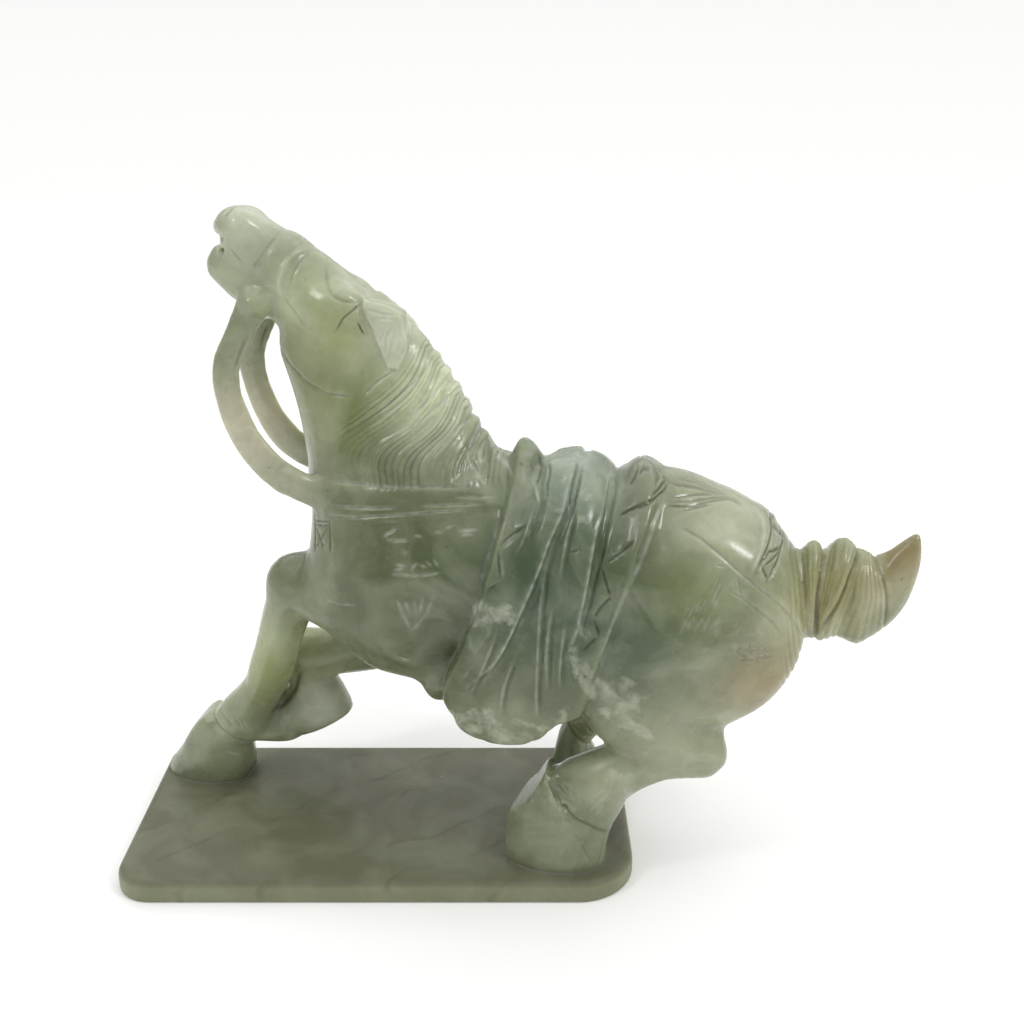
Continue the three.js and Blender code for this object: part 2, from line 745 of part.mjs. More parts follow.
// Thins a closed mesh: the edge whose loss moves the surface least goes first.
function thin({ positions, triangles }, wanted) {
  const count = positions.length;
  const quadrics = Array.from({ length: count }, () => new Float64Array(10));
  const faces = triangles.map((t) => t.slice());
  const around = Array.from({ length: count }, () => new Set());
  const normal = (a, b, c) => {
    const u = [b[0] - a[0], b[1] - a[1], b[2] - a[2]];
    const v = [c[0] - a[0], c[1] - a[1], c[2] - a[2]];
    return [u[1] * v[2] - u[2] * v[1], u[2] * v[0] - u[0] * v[2], u[0] * v[1] - u[1] * v[0]];
  };
  faces.forEach((face, f) => {
    const [a, b, c] = face.map((v) => positions[v]);
    const n = normal(a, b, c);
    const area = Math.hypot(...n) / 2;
    const weight = area * (a[2] > fineAbove ? fineWeight : 1);
    face.forEach((v) => around[v].add(f));
    if (area < 1e-9) return;
    const [p, q, r] = n.map((v) => v / (2 * area));
    const d = -(p * a[0] + q * a[1] + r * a[2]);
    const terms = [p * p, p * q, p * r, p * d, q * q, q * r, q * d, r * r, r * d, d * d];
    face.forEach((v) => terms.forEach((term, i) => (quadrics[v][i] += term * weight)));
  });

  const error = (m, [x, y, z]) =>
    m[0] * x * x + 2 * m[1] * x * y + 2 * m[2] * x * z + 2 * m[3] * x + m[4] * y * y +
    2 * m[5] * y * z + 2 * m[6] * y + m[7] * z * z + 2 * m[8] * z + m[9];
  const best = (m, a, b) => {
    const middle = a.map((v, i) => (v + b[i]) / 2);
    const pull = 1e-3 * (m[0] + m[4] + m[7]) + 1e-9;
    const A = new THREE.Matrix3(
      m[0] + pull, m[1], m[2], m[1], m[4] + pull, m[5], m[2], m[5], m[7] + pull,
    );
    const right = new THREE.Vector3(
      -m[3] + pull * middle[0], -m[6] + pull * middle[1], -m[8] + pull * middle[2],
    );
    const solved = right.applyMatrix3(A.invert()).toArray();
    const length = Math.hypot(a[0] - b[0], a[1] - b[1], a[2] - b[2]);
    const moved = Math.hypot(...solved.map((v, i) => v - middle[i]));
    return solved.every(Number.isFinite) && moved < 1.5 * length ? solved : middle;
  };

  // Binary heap of edges, cheapest first. An entry is stale once either end has changed.
  const age = new Int32Array(count);
  const heap = [];
  const push = (entry) => {
    heap.push(entry);
    let i = heap.length - 1;
    while (i > 0) {
      const parent = (i - 1) >> 1;
      if (heap[parent].cost <= heap[i].cost) break;
      [heap[parent], heap[i]] = [heap[i], heap[parent]];
      i = parent;
    }
  };
  const pop = () => {
    const top = heap[0];
    const last = heap.pop();
    if (heap.length) {
      heap[0] = last;
      let i = 0;
      for (;;) {
        let child = 2 * i + 1;
        if (child >= heap.length) break;
        if (child + 1 < heap.length && heap[child + 1].cost < heap[child].cost) child++;
        if (heap[i].cost <= heap[child].cost) break;
        [heap[i], heap[child]] = [heap[child], heap[i]];
        i = child;
      }
    }
    return top;
  };
  const offer = (a, b) => {
    const m = quadrics[a].map((v, i) => v + quadrics[b][i]);
    const at = best(m, positions[a], positions[b]);
    const length = Math.hypot(...positions[a].map((v, i) => v - positions[b][i]));
    push({ cost: error(m, at) + 1e-4 * length * length, a, b, at, born: age[a] + age[b] });
  };
  const ring = (v) => {
    const near = new Set();
    for (const f of around[v]) for (const w of faces[f]) if (w !== v) near.add(w);
    return near;
  };
  const offerAll = () => {
    heap.length = 0;
    for (const face of faces) {
      if (!face) continue;
      face.forEach((v, i) => {
        if (v < face[(i + 1) % 3]) offer(v, face[(i + 1) % 3]);
      });
    }
  };

  // An edge refused once can be open later, so the heap is filled again until enough has gone.
  let left = faces.length;
  let turn = 0.4;
  offerAll();
  while (left > wanted && turn > -0.2) {
    if (!heap.length) {
      turn -= 0.15;
      offerAll();
    }
    const { a, b, at, born } = pop();
    if (!positions[a] || !positions[b] || born !== age[a] + age[b]) continue;
    const shared = [...around[a]].filter((f) => around[b].has(f));
    const ringB = ring(b);
    const common = [...ring(a)].filter((v) => ringB.has(v));
    if (shared.length !== 2 || common.length !== 2) continue;
    const turns = (v) =>
      [...around[v]].some((f) => {
        if (shared.includes(f)) return false;
        const before = faces[f].map((w) => positions[w]);
        const after = faces[f].map((w) => (w === v ? at : positions[w]));
        const n0 = normal(...before);
        const n1 = normal(...after);
        const dot = n0[0] * n1[0] + n0[1] * n1[1] + n0[2] * n1[2];
        const l0 = Math.hypot(...n0);
        const l1 = Math.hypot(...n1);
        const longest = Math.max(
          Math.hypot(...after[0].map((w, i) => w - after[1][i])),
          Math.hypot(...after[1].map((w, i) => w - after[2][i])),
          Math.hypot(...after[2].map((w, i) => w - after[0][i])),
        );
        return l1 < 0.04 * longest * longest || (l0 > 0.04 && dot < turn * l0 * l1);
      });
    if (turns(a) || turns(b)) continue;
    shared.forEach((f) => {
      faces[f].forEach((v) => around[v].delete(f));
      faces[f] = null;
    });
    left -= 2;
    around[b].forEach((f) => {
      faces[f][faces[f].indexOf(b)] = a;
      around[a].add(f);
    });
    positions[a] = at;
    positions[b] = null;
    quadrics[b].forEach((v, i) => (quadrics[a][i] += v));
    age[a] += age[b] + 1;
    for (const v of ring(a)) offer(a, v);
  }

  const index = new Map();
  const kept = [];
  const out = [];
  faces.forEach((face) => {
    if (!face) return;
    for (const v of face) {
      if (!index.has(v)) {
        index.set(v, kept.length);
        kept.push(positions[v]);
      }
      out.push(index.get(v));
    }
  });
  return { positions: kept.flat(), index: out };
}

function toGeometry({ positions, index }) {
  const geometry = new THREE.BufferGeometry();
  geometry.setAttribute("position", new THREE.Float32BufferAttribute(positions, 3));
  geometry.setIndex(index);
  return geometry;
}

const reach = { low: [-80, -37, hoofBottom - 1.2], high: [158, 37, 199] };
const surface = follow(horse, reach.low, reach.high, cell);
const horseGeometry = toGeometry(thin(surface, horseTriangles));
horseGeometry.rotateZ(-horseTurn);
horseGeometry.translate(...horseShift, slabThickness - slabTop);

// Slab: a rounded rectangle, built up of rings so that its top edge is eased more than its foot
function slabRing(inset, z) {
  const hx = slabLength / 2 - inset;
  const hy = slabDepth / 2 - inset;
  const corners = [
    [hx, -hy, slabCorners.frontRight, -90],
    [hx, hy, slabCorners.backRight, 0],
    [-hx, hy, slabCorners.backLeft, 90],
    [-hx, -hy, slabCorners.frontLeft, 180],
  ];
  const points = [];
  const steps = 6;
  for (const [x, y, radius, start] of corners) {
    const r = radius - inset;
    for (let i = 0; i <= steps; i++) {
      const angle = THREE.MathUtils.degToRad(start + (90 * i) / steps);
      const cx = x - Math.sign(x) * r;
      const cy = y - Math.sign(y) * r;
      points.push([cx + r * Math.cos(angle), cy + r * Math.sin(angle), z]);
    }
  }
  return points;
}

const rings = [];
const footSteps = 2;
for (let i = 0; i <= footSteps; i++) {
  const angle = (Math.PI / 2) * (i / footSteps);
  rings.push(slabRing(slabFootEdge * (1 - Math.sin(angle)), slabFootEdge * (1 - Math.cos(angle))));
}
const topSteps = 3;
for (let i = 0; i <= topSteps; i++) {
  const angle = (Math.PI / 2) * (i / topSteps);
  const z = slabThickness - slabTopEdge * (1 - Math.sin(angle));
  rings.push(slabRing(slabTopEdge * (1 - Math.cos(angle)), z));
}
const slabIndex = [];
const around = rings[0].length;
for (let ring = 1; ring < rings.length; ring++) {
  for (let i = 0; i < around; i++) {
    const a = (ring - 1) * around + i;
    const b = (ring - 1) * around + ((i + 1) % around);
    slabIndex.push(a, b, b + around, a, b + around, a + around);
  }
}
for (let i = 1; i < around - 1; i++) {
  const top = (rings.length - 1) * around;
  slabIndex.push(0, i + 1, i, top, top + i, top + i + 1);
}
const slabGeometry = toGeometry({ positions: rings.flat(2), index: slabIndex });

const solids = await Module();
solids.setup();

// Welds a geometry's points and hands it over as a solid.
function toSolid(geometry) {
  const plain = geometry.index ? geometry.toNonIndexed() : geometry;
  const found = new Map();
  const points = [];
  const index = [];
  const at = plain.getAttribute("position");
  for (let i = 0; i < at.count; i++) {
    const p = [at.getX(i), at.getY(i), at.getZ(i)];
    const key = p.map((v) => Math.round(v * 1e4)).join();
    if (!found.has(key)) {
      found.set(key, points.length / 3);
      points.push(...p);
    }
    index.push(found.get(key));
  }
  return new solids.Manifold(
    new solids.Mesh({
      numProp: 3,
      vertProperties: new Float32Array(points),
      triVerts: new Uint32Array(index),
    }),
  );
}

const block = toSolid(slabGeometry).add(toSolid(horseGeometry)).getMesh();
const geometry = toGeometry({
  positions: [...block.vertProperties],
  index: [...block.triVerts],
});
geometry.computeVertexNormals();

const jade = new THREE.MeshStandardMaterial({ color: 0x94a184, roughness: 0.3, metalness: 0 });
const figure = new THREE.Mesh(geometry, jade);
figure.name = "tang_horse";

const group = new THREE.Group();
group.name = "tang_horse_figurine";
group.add(figure);

export default group;
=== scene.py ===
import math

import bpy
import numpy as np
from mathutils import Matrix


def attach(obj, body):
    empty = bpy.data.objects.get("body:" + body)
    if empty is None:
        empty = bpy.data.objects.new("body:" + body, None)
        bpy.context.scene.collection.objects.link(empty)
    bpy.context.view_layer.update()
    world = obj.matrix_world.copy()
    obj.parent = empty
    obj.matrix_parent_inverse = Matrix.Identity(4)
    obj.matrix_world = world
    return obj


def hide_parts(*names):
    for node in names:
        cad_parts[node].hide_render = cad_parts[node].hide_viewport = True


MM = 0.001

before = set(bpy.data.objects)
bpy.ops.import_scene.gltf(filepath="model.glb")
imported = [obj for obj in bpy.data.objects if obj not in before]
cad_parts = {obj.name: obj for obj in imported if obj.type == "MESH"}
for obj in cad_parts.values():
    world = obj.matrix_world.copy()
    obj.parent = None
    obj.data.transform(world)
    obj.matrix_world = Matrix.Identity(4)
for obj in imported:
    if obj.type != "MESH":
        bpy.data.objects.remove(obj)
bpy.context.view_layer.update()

# The camera stands in front of the slab and a little right of its middle, in metres, and looks down
# by this many degrees through this lens.
CAMERA_AT = (0.0400, -0.3224, 0.2283)
CAMERA_PITCH = 20.64
CAMERA_LENS = 42.19

# The horse stands askew on the slab. Its carving is laid out in its own x, y and z, in millimetres:
# x along the back towards the tail, y across and away from the viewer, z up from the slab's underside.
HORSE_TURN = math.radians(10)
HORSE_SHIFT = (-0.3, 5.6)

# Slab, in millimetres. Each upright corner has its own radius, by its side in x and in y.
SLAB_LENGTH = 152.5
SLAB_DEPTH = 74.8
SLAB_THICKNESS = 6.8
SLAB_TOP_EDGE = 2.6
SLAB_FOOT_EDGE = 0.7
SLAB_CORNERS = {(1, -1): 17, (1, 1): 9, (-1, 1): 6, (-1, -1): 11}

# Points of the CAD form this near each other, in millimetres, are one. The feet run this far down into
# the slab.
WELD_GAP = 0.02
FOOT_DEPTH = 3

# The stone's skin is followed at this spacing, in millimetres, evened out in so many rounds, carved, and
# then thinned to this many triangles.
SKIN_STEP = 0.34
RELAX_ROUNDS = 30
SKIN_TRIANGLES = 196000

# The paper floor, in metres. Behind the figure it rises on a wide arc, in steps of so many degrees.
FLOOR_WIDTH = 12.0
FLOOR_FRONT = -0.9
FLOOR_BACK = 1.3
FLOOR_ARC = 16.0
ARC_STEPS = 12
ARC_STEP = 2

# A wide diffuser overhead, a little behind the figure and to its right: its power, its spread and its
# tilt in degrees. The white room around it gives the rest.
DIFFUSER_POWER = 2.3
DIFFUSER_SPREAD = 115
DIFFUSER_TILT = (-14, 5)
ROOM_POWER = 0.34


def select_only(*objects):
    bpy.ops.object.select_all(action="DESELECT")
    for item in objects:
        item.select_set(True)
    bpy.context.view_layer.objects.active = objects[0]


def select_parts(piece, mode, wanted):
    """Edit mode, with the faces, edges or vertices selected that the test wants."""
    bpy.ops.object.mode_set(mode="EDIT")
    bpy.ops.mesh.select_mode(type=mode)
    bpy.ops.mesh.select_all(action="DESELECT")
    bpy.ops.object.mode_set(mode="OBJECT")
    parts = {"VERT": piece.data.vertices, "EDGE": piece.data.edges, "FACE": piece.data.polygons}[mode]
    for part in parts:
        part.select = wanted(part)
    bpy.ops.object.mode_set(mode="EDIT")


def apply_modifier(piece, kind, **settings):
    modifier = piece.modifiers.new(kind.title(), kind)
    for name, value in settings.items():
        setattr(modifier, name, value)
    select_only(piece)
    bpy.ops.object.modifier_apply(modifier=modifier.name)


def rough_horse():
    """The horse off its slab: its feet are cut free and run down into where the slab will be."""
    select_only(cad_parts["tang_horse"])
    bpy.ops.object.duplicate()
    horse = bpy.context.active_object
    horse.name = "carved_horse"
    select_only(horse)
    bpy.ops.object.mode_set(mode="EDIT")
    bpy.ops.mesh.select_all(action="SELECT")
    bpy.ops.mesh.remove_doubles(threshold=WELD_GAP * MM)
    bpy.ops.object.mode_set(mode="OBJECT")
    top = (SLAB_THICKNESS + 0.01) * MM
    points = horse.data.vertices
    select_parts(horse, "FACE", lambda f: all(points[i].co.z <= top for i in f.vertices))
    bpy.ops.mesh.delete(type="FACE")
    bpy.ops.mesh.select_mode(type="EDGE")
    bpy.ops.mesh.select_all(action="DESELECT")
    bpy.ops.mesh.select_non_manifold()
    bpy.ops.mesh.extrude_edges_move(TRANSFORM_OT_translate={"value": (0, 0, -FOOT_DEPTH * MM)})
    bpy.ops.mesh.fill()
    bpy.ops.mesh.select_all(action="SELECT")
    bpy.ops.mesh.normals_make_consistent(inside=False)
    bpy.ops.object.mode_set(mode="OBJECT")
    apply_modifier(horse, "SUBSURF", levels=2, render_levels=2)
    return horse


def rough_slab():
    """A flat stone slab: each upright corner has its own radius, and the top edge is eased."""
    half = SLAB_THICKNESS * MM / 2
    bpy.ops.object.select_all(action="DESELECT")
    bpy.ops.mesh.primitive_cube_add(size=2, location=(0, 0, half))
    slab = bpy.context.active_object
    slab.scale = (SLAB_LENGTH * MM / 2, SLAB_DEPTH * MM / 2, half)
    bpy.ops.object.transform_apply(location=True, scale=True)
    for (sx, sy), radius in SLAB_CORNERS.items():
        mesh = slab.data
        corner = (sx * SLAB_LENGTH * MM / 2, sy * SLAB_DEPTH * MM / 2)

        def upright(edge):
            ends = [mesh.vertices[i].co for i in edge.vertices]
            near = all(math.dist(p.xy, corner) < 0.1 * MM for p in ends)
            return near and abs(ends[0].z - ends[1].z) > half

        select_parts(slab, "EDGE", upright)
        bpy.ops.mesh.bevel(offset=radius * MM, segments=10)
        bpy.ops.object.mode_set(mode="OBJECT")
    for height, width, steps in ((2 * half, SLAB_TOP_EDGE, 6), (0, SLAB_FOOT_EDGE, 2)):
        mesh = slab.data

        def level(edge):
            return all(abs(mesh.vertices[i].co.z - height) < 0.01 * MM for i in edge.vertices)

        select_parts(slab, "EDGE", level)
        bpy.ops.mesh.bevel(offset=width * MM, segments=steps)
        bpy.ops.object.mode_set(mode="OBJECT")
    return slab


def read_points(mesh, field):
    """The points' places or normals, one row for each."""
    values = np.empty(len(mesh.vertices) * 3)
    mesh.vertices.foreach_get(field, values)
    return values.reshape(-1, 3)


def move_points(mesh, points):
    mesh.vertices.foreach_set("co", points.ravel())
    mesh.update()


def add_layer(mesh, name, values, kind="FLOAT", field="value"):
    """Gives each point of the mesh a value or a colour of its own."""
    mesh.attributes.new(name, kind, "POINT").data.foreach_set(field, values.ravel())


def neighbours(mesh):
    """Pairs of points that share an edge."""
    edges = np.empty(len(mesh.edges) * 2, np.int32)
    mesh.edges.foreach_get("vertices", edges)
    return edges.reshape(-1, 2)


def relax(points, edges, share, rounds):
    """Evens out ripples. Each round pulls in and then pushes back, so the form doesn't shrink."""
    count = len(points)
    degree = np.bincount(edges.ravel(), minlength=count).astype(float)
    for turn in range(2 * rounds):
        step = 0.5 if turn % 2 == 0 else -0.52
        for axis in range(3):
            column = points[:, axis]
            total = np.bincount(edges[:, 0], column[edges[:, 1]], count)
            total += np.bincount(edges[:, 1], column[edges[:, 0]], count)
            points[:, axis] = column + share * step * (total / degree - column)
    return points


def ease(low, high, value):
    """0 below low, 1 above high, and smooth between. low may be above high."""
    t = np.clip((value - low) / (high - low), 0, 1)
    return t * t * (3 - 2 * t)


def sway(a, b, seed):
    """A smooth uneven wave over a and b, from about -1 to 1."""
    total = np.sin(a + seed) + np.sin(0.63 * b + 1.7 * a + 2.1 * seed)
    total += np.sin(1.31 * b - 0.77 * a + 3.3 * seed) + np.sin(2.3 * a + 1.9 * b + 5.1 * seed)
    return total / 2.6


class Skin:
    """The skin's points in the horse's own millimetres, and what is carved into it."""

    def __init__(self, points, normals):
        c, s = math.cos(HORSE_TURN), math.sin(HORSE_TURN)
        x, y = points[:, 0] / MM - HORSE_SHIFT[0], points[:, 1] / MM - HORSE_SHIFT[1]
        self.x, self.y, self.z = x * c - y * s, x * s + y * c, points[:, 2] / MM
        side = normals[:, 0] * s + normals[:, 1] * c
        self.near = ease(-0.02, 0.3, -side)
        self.far = ease(-0.02, 0.3, side)
        self.lift = np.zeros(len(points))
        self.cut = np.zeros(len(points))
        self.groove_darkening = np.zeros(len(points))

    def around(self, line, margin):
        """The points in the box around a line of (x, z), with a margin on every side."""
        low, high = line.min(0) - margin, line.max(0) + margin
        return np.flatnonzero(
            (self.x > low[0]) & (self.x < high[0]) & (self.z > low[1]) & (self.z < high[1])
        )

    def stroke(self, lines, width, height, cut=0.0, groove_darkening=0.0, taper=2.5, far=True, over=False):
        """Runs a tool along lines of (x, z). A height below 0 is a groove, above 0 a ridge.
        The next two numbers say how much paler the line is made, where the tool has dulled the stone and,
        on some raised crests, as painted highlight, and how much darker it is made.
        far carves the far side too, and over carries the line across the back between them."""
        depth = np.zeros(len(self.x))
        worn = np.zeros(len(self.x))
        for line in lines:
            p = np.array(line, float)
            hit = self.around(p, 4 * width)
            if not len(hit):
                continue
            x, z = self.x[hit], self.z[hit]
            lengths = np.hypot(*np.diff(p, axis=0).T)
            whole = lengths.sum()
            best = np.full(len(hit), 1e9)
            along = np.zeros(len(hit))
            start = 0.0
            for a, b, length in zip(p[:-1], p[1:], lengths):
                t = ((x - a[0]) * (b[0] - a[0]) + (z - a[1]) * (b[1] - a[1])) / max(length * length, 1e-9)
                t = np.clip(t, 0, 1)
                gap = np.hypot(x - a[0] - t * (b[0] - a[0]), z - a[1] - t * (b[1] - a[1]))
                closer = gap < best
                best[closer] = gap[closer]
                along[closer] = start + t[closer] * length
                start += length
            # The tool skips as it runs, and bites less at both ends of the line.
            worn[hit] = 0.62 + 0.38 * np.sin(along / 1.7 + start) * np.sin(along / 0.63 + 2)
            ends = np.minimum(along, whole - along)
            bite = 0.25 + 0.75 * ease(0, min(taper, whole / 2.2), ends)
            depth[hit] = np.maximum(depth[hit], np.exp(-((best / width) ** 2)) * bite)
        if not over:
            depth *= np.maximum(self.near, self.far) if far else self.near
        self.lift += height * depth
        self.cut = np.maximum(self.cut, cut * depth * worn)
        self.groove_darkening = np.maximum(self.groove_darkening, groove_darkening * depth)

    def inside(self, outline, edge):
        """The points in and near an outline of (x, z), and how far in each is: 0 to 1 across the edge."""
        p = np.array(outline, float)
        hit = self.around(p, 2 * edge)
        x, z = self.x[hit], self.z[hit]
        inside = np.zeros(len(hit), bool)
        gap = np.full(len(hit), 1e9)
        for a, b in zip(p, np.roll(p, -1, axis=0)):
            run, rise = b - a
            t = np.clip(((x - a[0]) * run + (z - a[1]) * rise) / max(run * run + rise * rise, 1e-9), 0, 1)
            gap = np.minimum(gap, np.hypot(x - a[0] - t * run, z - a[1] - t * rise))
            crosses = (a[1] > z) != (b[1] > z)
            inside ^= crosses & (x < a[0] + (z - a[1]) * run / (rise or 1e-9))
        return hit, ease(-edge, edge, np.where(inside, gap, -gap))

    def leaf(self, outline, height, edge=0.45, cut=0.0):
        """Raises what lies inside an outline on either side, with a step that is soft over the edge."""
        hit, amount = self.inside(outline, edge)
        amount *= np.maximum(self.near[hit], self.far[hit])
        self.lift[hit] += height * amount
        self.cut[hit] = np.maximum(self.cut[hit], cut * amount)


def smooth_line(points, pieces=6):
    """The same line with its corners rounded."""
    p = np.array([points[0], *points, points[-1]], float)
    out = []
    for i in range(1, len(p) - 2):
        for t in np.linspace(0, 1, pieces, endpoint=False):
            a, b, c, d = p[i - 1], p[i], p[i + 1], p[i + 2]
            out.append(
                0.5 * (2 * b + (c - a) * t + (2 * a - 5 * b + 4 * c - d) * t**2
                       + (3 * b - a - 3 * c + d) * t**3)
            )
    out.append(p[-1])
    return out


def smooth_all(*lines):
    return [smooth_line(line) for line in lines]


def carve_head(skin):
    band_rear = smooth_all(
        [(-14.6, 180.8), (-17.3, 179.5), (-19.2, 177), (-20.7, 174), (-21.2, 171.2), (-21.2, 168.6)],
    )
    skin.stroke(band_rear, 0.75, 0.45, cut=0.4)
    band_back = smooth_all([(-13.9, 179.6), (-15.4, 178.2), (-16.5, 176), (-17.7, 173.4), (-18.3, 170.6)])
    skin.stroke(band_back, 0.4, -0.3, groove_darkening=0.12)
    band_front = smooth_all(
        [(-21.6, 185.2), (-22.6, 184), (-24.6, 181.1), (-27.5, 177.6), (-29.9, 175.1)],
    )
    skin.stroke(band_front, 0.35, -0.25, groove_darkening=0.12)
    brow = smooth_all(
        [(-9.1, 176.6), (-8.4, 173.6), (-6.9, 171), (-4.7, 169.1), (-2.2, 168.1), (1.2, 168)],
    )
    skin.stroke(brow, 0.45, -0.3, groove_darkening=0.16)
    crease = smooth_all([(1.7, 168.2), (-0.2, 166), (-2.7, 163.9), (-4.3, 161.3), (-5.2, 160.1)])
    skin.stroke(crease, 0.32, -0.35, groove_darkening=0.6)
    jaw = smooth_all(
        [(-24.6, 153.4), (-23.4, 151.6), (-19.5, 148.3), (-15.1, 145.3), (-8.5, 143.1), (-1.3, 143.2)],
        [(2.5, 143.6), (6.1, 147.2), (10, 149.8), (11.8, 151.2)],
    )
    # The darkening along the jaw is painted shade under the cheek.
    skin.stroke(jaw, 0.5, -0.45, cut=0.3, groove_darkening=0.14)
    skin.stroke(smooth_all([(-20.2, 168.6), (-17.5, 165.1), (-14.2, 160.6)]), 0.32, -0.25, groove_darkening=0.25)
    skin.stroke([[(-36.4, 188.6), (-35.4, 190), (-34.6, 191.6)]], 0.45, -0.45, groove_darkening=0.4, taper=1)
    skin.stroke(smooth_all([(-35.4, 181), (-33.2, 178.5), (-30.9, 175.8)]), 0.35, -0.25, groove_darkening=0.2)
    skin.stroke(smooth_all([(-31.1, 157.5), (-33.1, 153.4), (-35, 148.3)]), 0.4, -0.35, groove_darkening=0.35)
    mouth = [(-40.8, 183.4), (-38.6, 183.2), (-36.7, 183.5)]
    skin.stroke([mouth], 1.2, -1.0, over=True, taper=0.8)
    ear = [(1.4, 168.7), (5.4, 167.6), (9.2, 167), (12.9, 165.4), (13.2, 162.1), (13.5, 157.9),
           (13.1, 154.3), (11.6, 150.4), (8.9, 150.9), (7.3, 155.7), (5.3, 160.6), (3.5, 164.9)]
    skin.leaf(ear, 0.7, cut=0.35)
    hair = [
        [(3.6, 166.2), (8.2, 165), (12.2, 164.9)],
        [(6.4, 164.2), (9.7, 164.1), (12.5, 163.9)],
        [(9.1, 153.6), (10.4, 158), (11.7, 161.8)],
        [(10.4, 153.4), (12.1, 157.4), (12.9, 160.8)],
        [(10.8, 152.3), (12.9, 156)],
        [(8.4, 155.7), (9, 159.4), (10.6, 162.2)],
        [(7.1, 158.4), (8.4, 161.6)],
    ]
    skin.stroke(smooth_all(*hair), 0.34, -0.35, cut=1)
    skin.stroke([[(1.1, 162.9), (2, 161.1), (2.9, 159.8)]], 0.26, -0.4, groove_darkening=1, taper=0.8, far=False)
    skin.stroke([[(3.9, 163.9), (5.1, 161.6), (6.3, 159)]], 0.28, -0.3, groove_darkening=0.5, far=False)


# Where the mane leaves the crest, the way the crest falls, and the width of one strand, in millimetres
CREST_TOP = (14, 160.8)
CREST_FALL = (0.544, -0.839)
STRAND = 1.4


def mane_place(x, z):
    """How far across the strands a point lies, the same all along one strand, then how far in from
    the crest it lies, and how far down the crest its strand began."""
    along = (x - CREST_TOP[0]) * CREST_FALL[0] + (z - CREST_TOP[1]) * CREST_FALL[1]
    inward = (x - CREST_TOP[0]) * CREST_FALL[1] - (z - CREST_TOP[1]) * CREST_FALL[0]
    swept = along - 7.5 * (1 - np.exp(-np.maximum(0, inward) / 6))
    hanging = 0.8 * x + 10
    return swept + (hanging - swept) * ease(135.8, 119.8, z), inward, swept


def carve_mane(skin):
    x, z = skin.x, skin.z
    place, inward, swept = mane_place(x, z)
    # The mane's own area fades out over a few millimetres towards the strap, the throat and the chest.
    region = ease(118.6, 121.4, z) * ease(-17, -11, x) * ease(35, 27, inward) * ease(1, 5, swept)
    region = region * ease(46, 42, x) * (inward > -6)
    wave = place + 0.4 * sway(place / 3.1, (x - z) / 9, 1.3)
    turn = 2 * math.pi * wave / STRAND
    fine = (0.5 + 0.5 * np.cos(turn)) ** 4
    finer = (0.5 + 0.5 * np.cos(turn * 1.73 + 1.1)) ** 6
    patchy = 0.6 + 0.45 * sway(place / 2.3, (x + z) / 14, 4.2)
    patchier = 0.35 + 0.6 * sway(place / 1.4 + 2, (x + z) / 10, 7.7)
    strength = np.clip(patchy, 0.12, 1) * fine + 0.6 * np.clip(patchier, 0, 1) * finer
    skin.lift -= 0.34 * region * strength
    worn = np.clip(0.1 + 0.9 * sway(place / 4 + 3, (x - z) / 8, 9.1), 0, 1)
    skin.cut = np.maximum(skin.cut, 0.55 * region * strength * worn)
    skin.groove_darkening = np.maximum(skin.groove_darkening, 0.32 * region * fine * (1 - worn) * np.clip(patchy, 0.1, 1))
    bright = smooth_all(
        [(19.6, 153.9), (18.4, 150.2), (14.8, 146), (7.3, 139.4)],
        [(26.6, 144.3), (22.6, 140.8), (18.1, 136.9), (12.1, 133)],
        [(31, 136.6), (26.7, 133.5), (23.6, 129.9), (22.2, 127.6)],
        [(24.6, 148), (23.3, 146.4), (19.7, 142.2), (14.8, 138.3)],
        [(31.9, 132.5), (30.5, 128.6), (31.6, 124.9), (36.7, 119.8)],
        [(34.3, 130), (33, 127.5), (34.5, 123.3)],
        [(35.2, 128.7), (38.2, 125.2), (43.4, 122.4)],
    )
    skin.stroke(bright, 0.42, -0.5, cut=0.9)


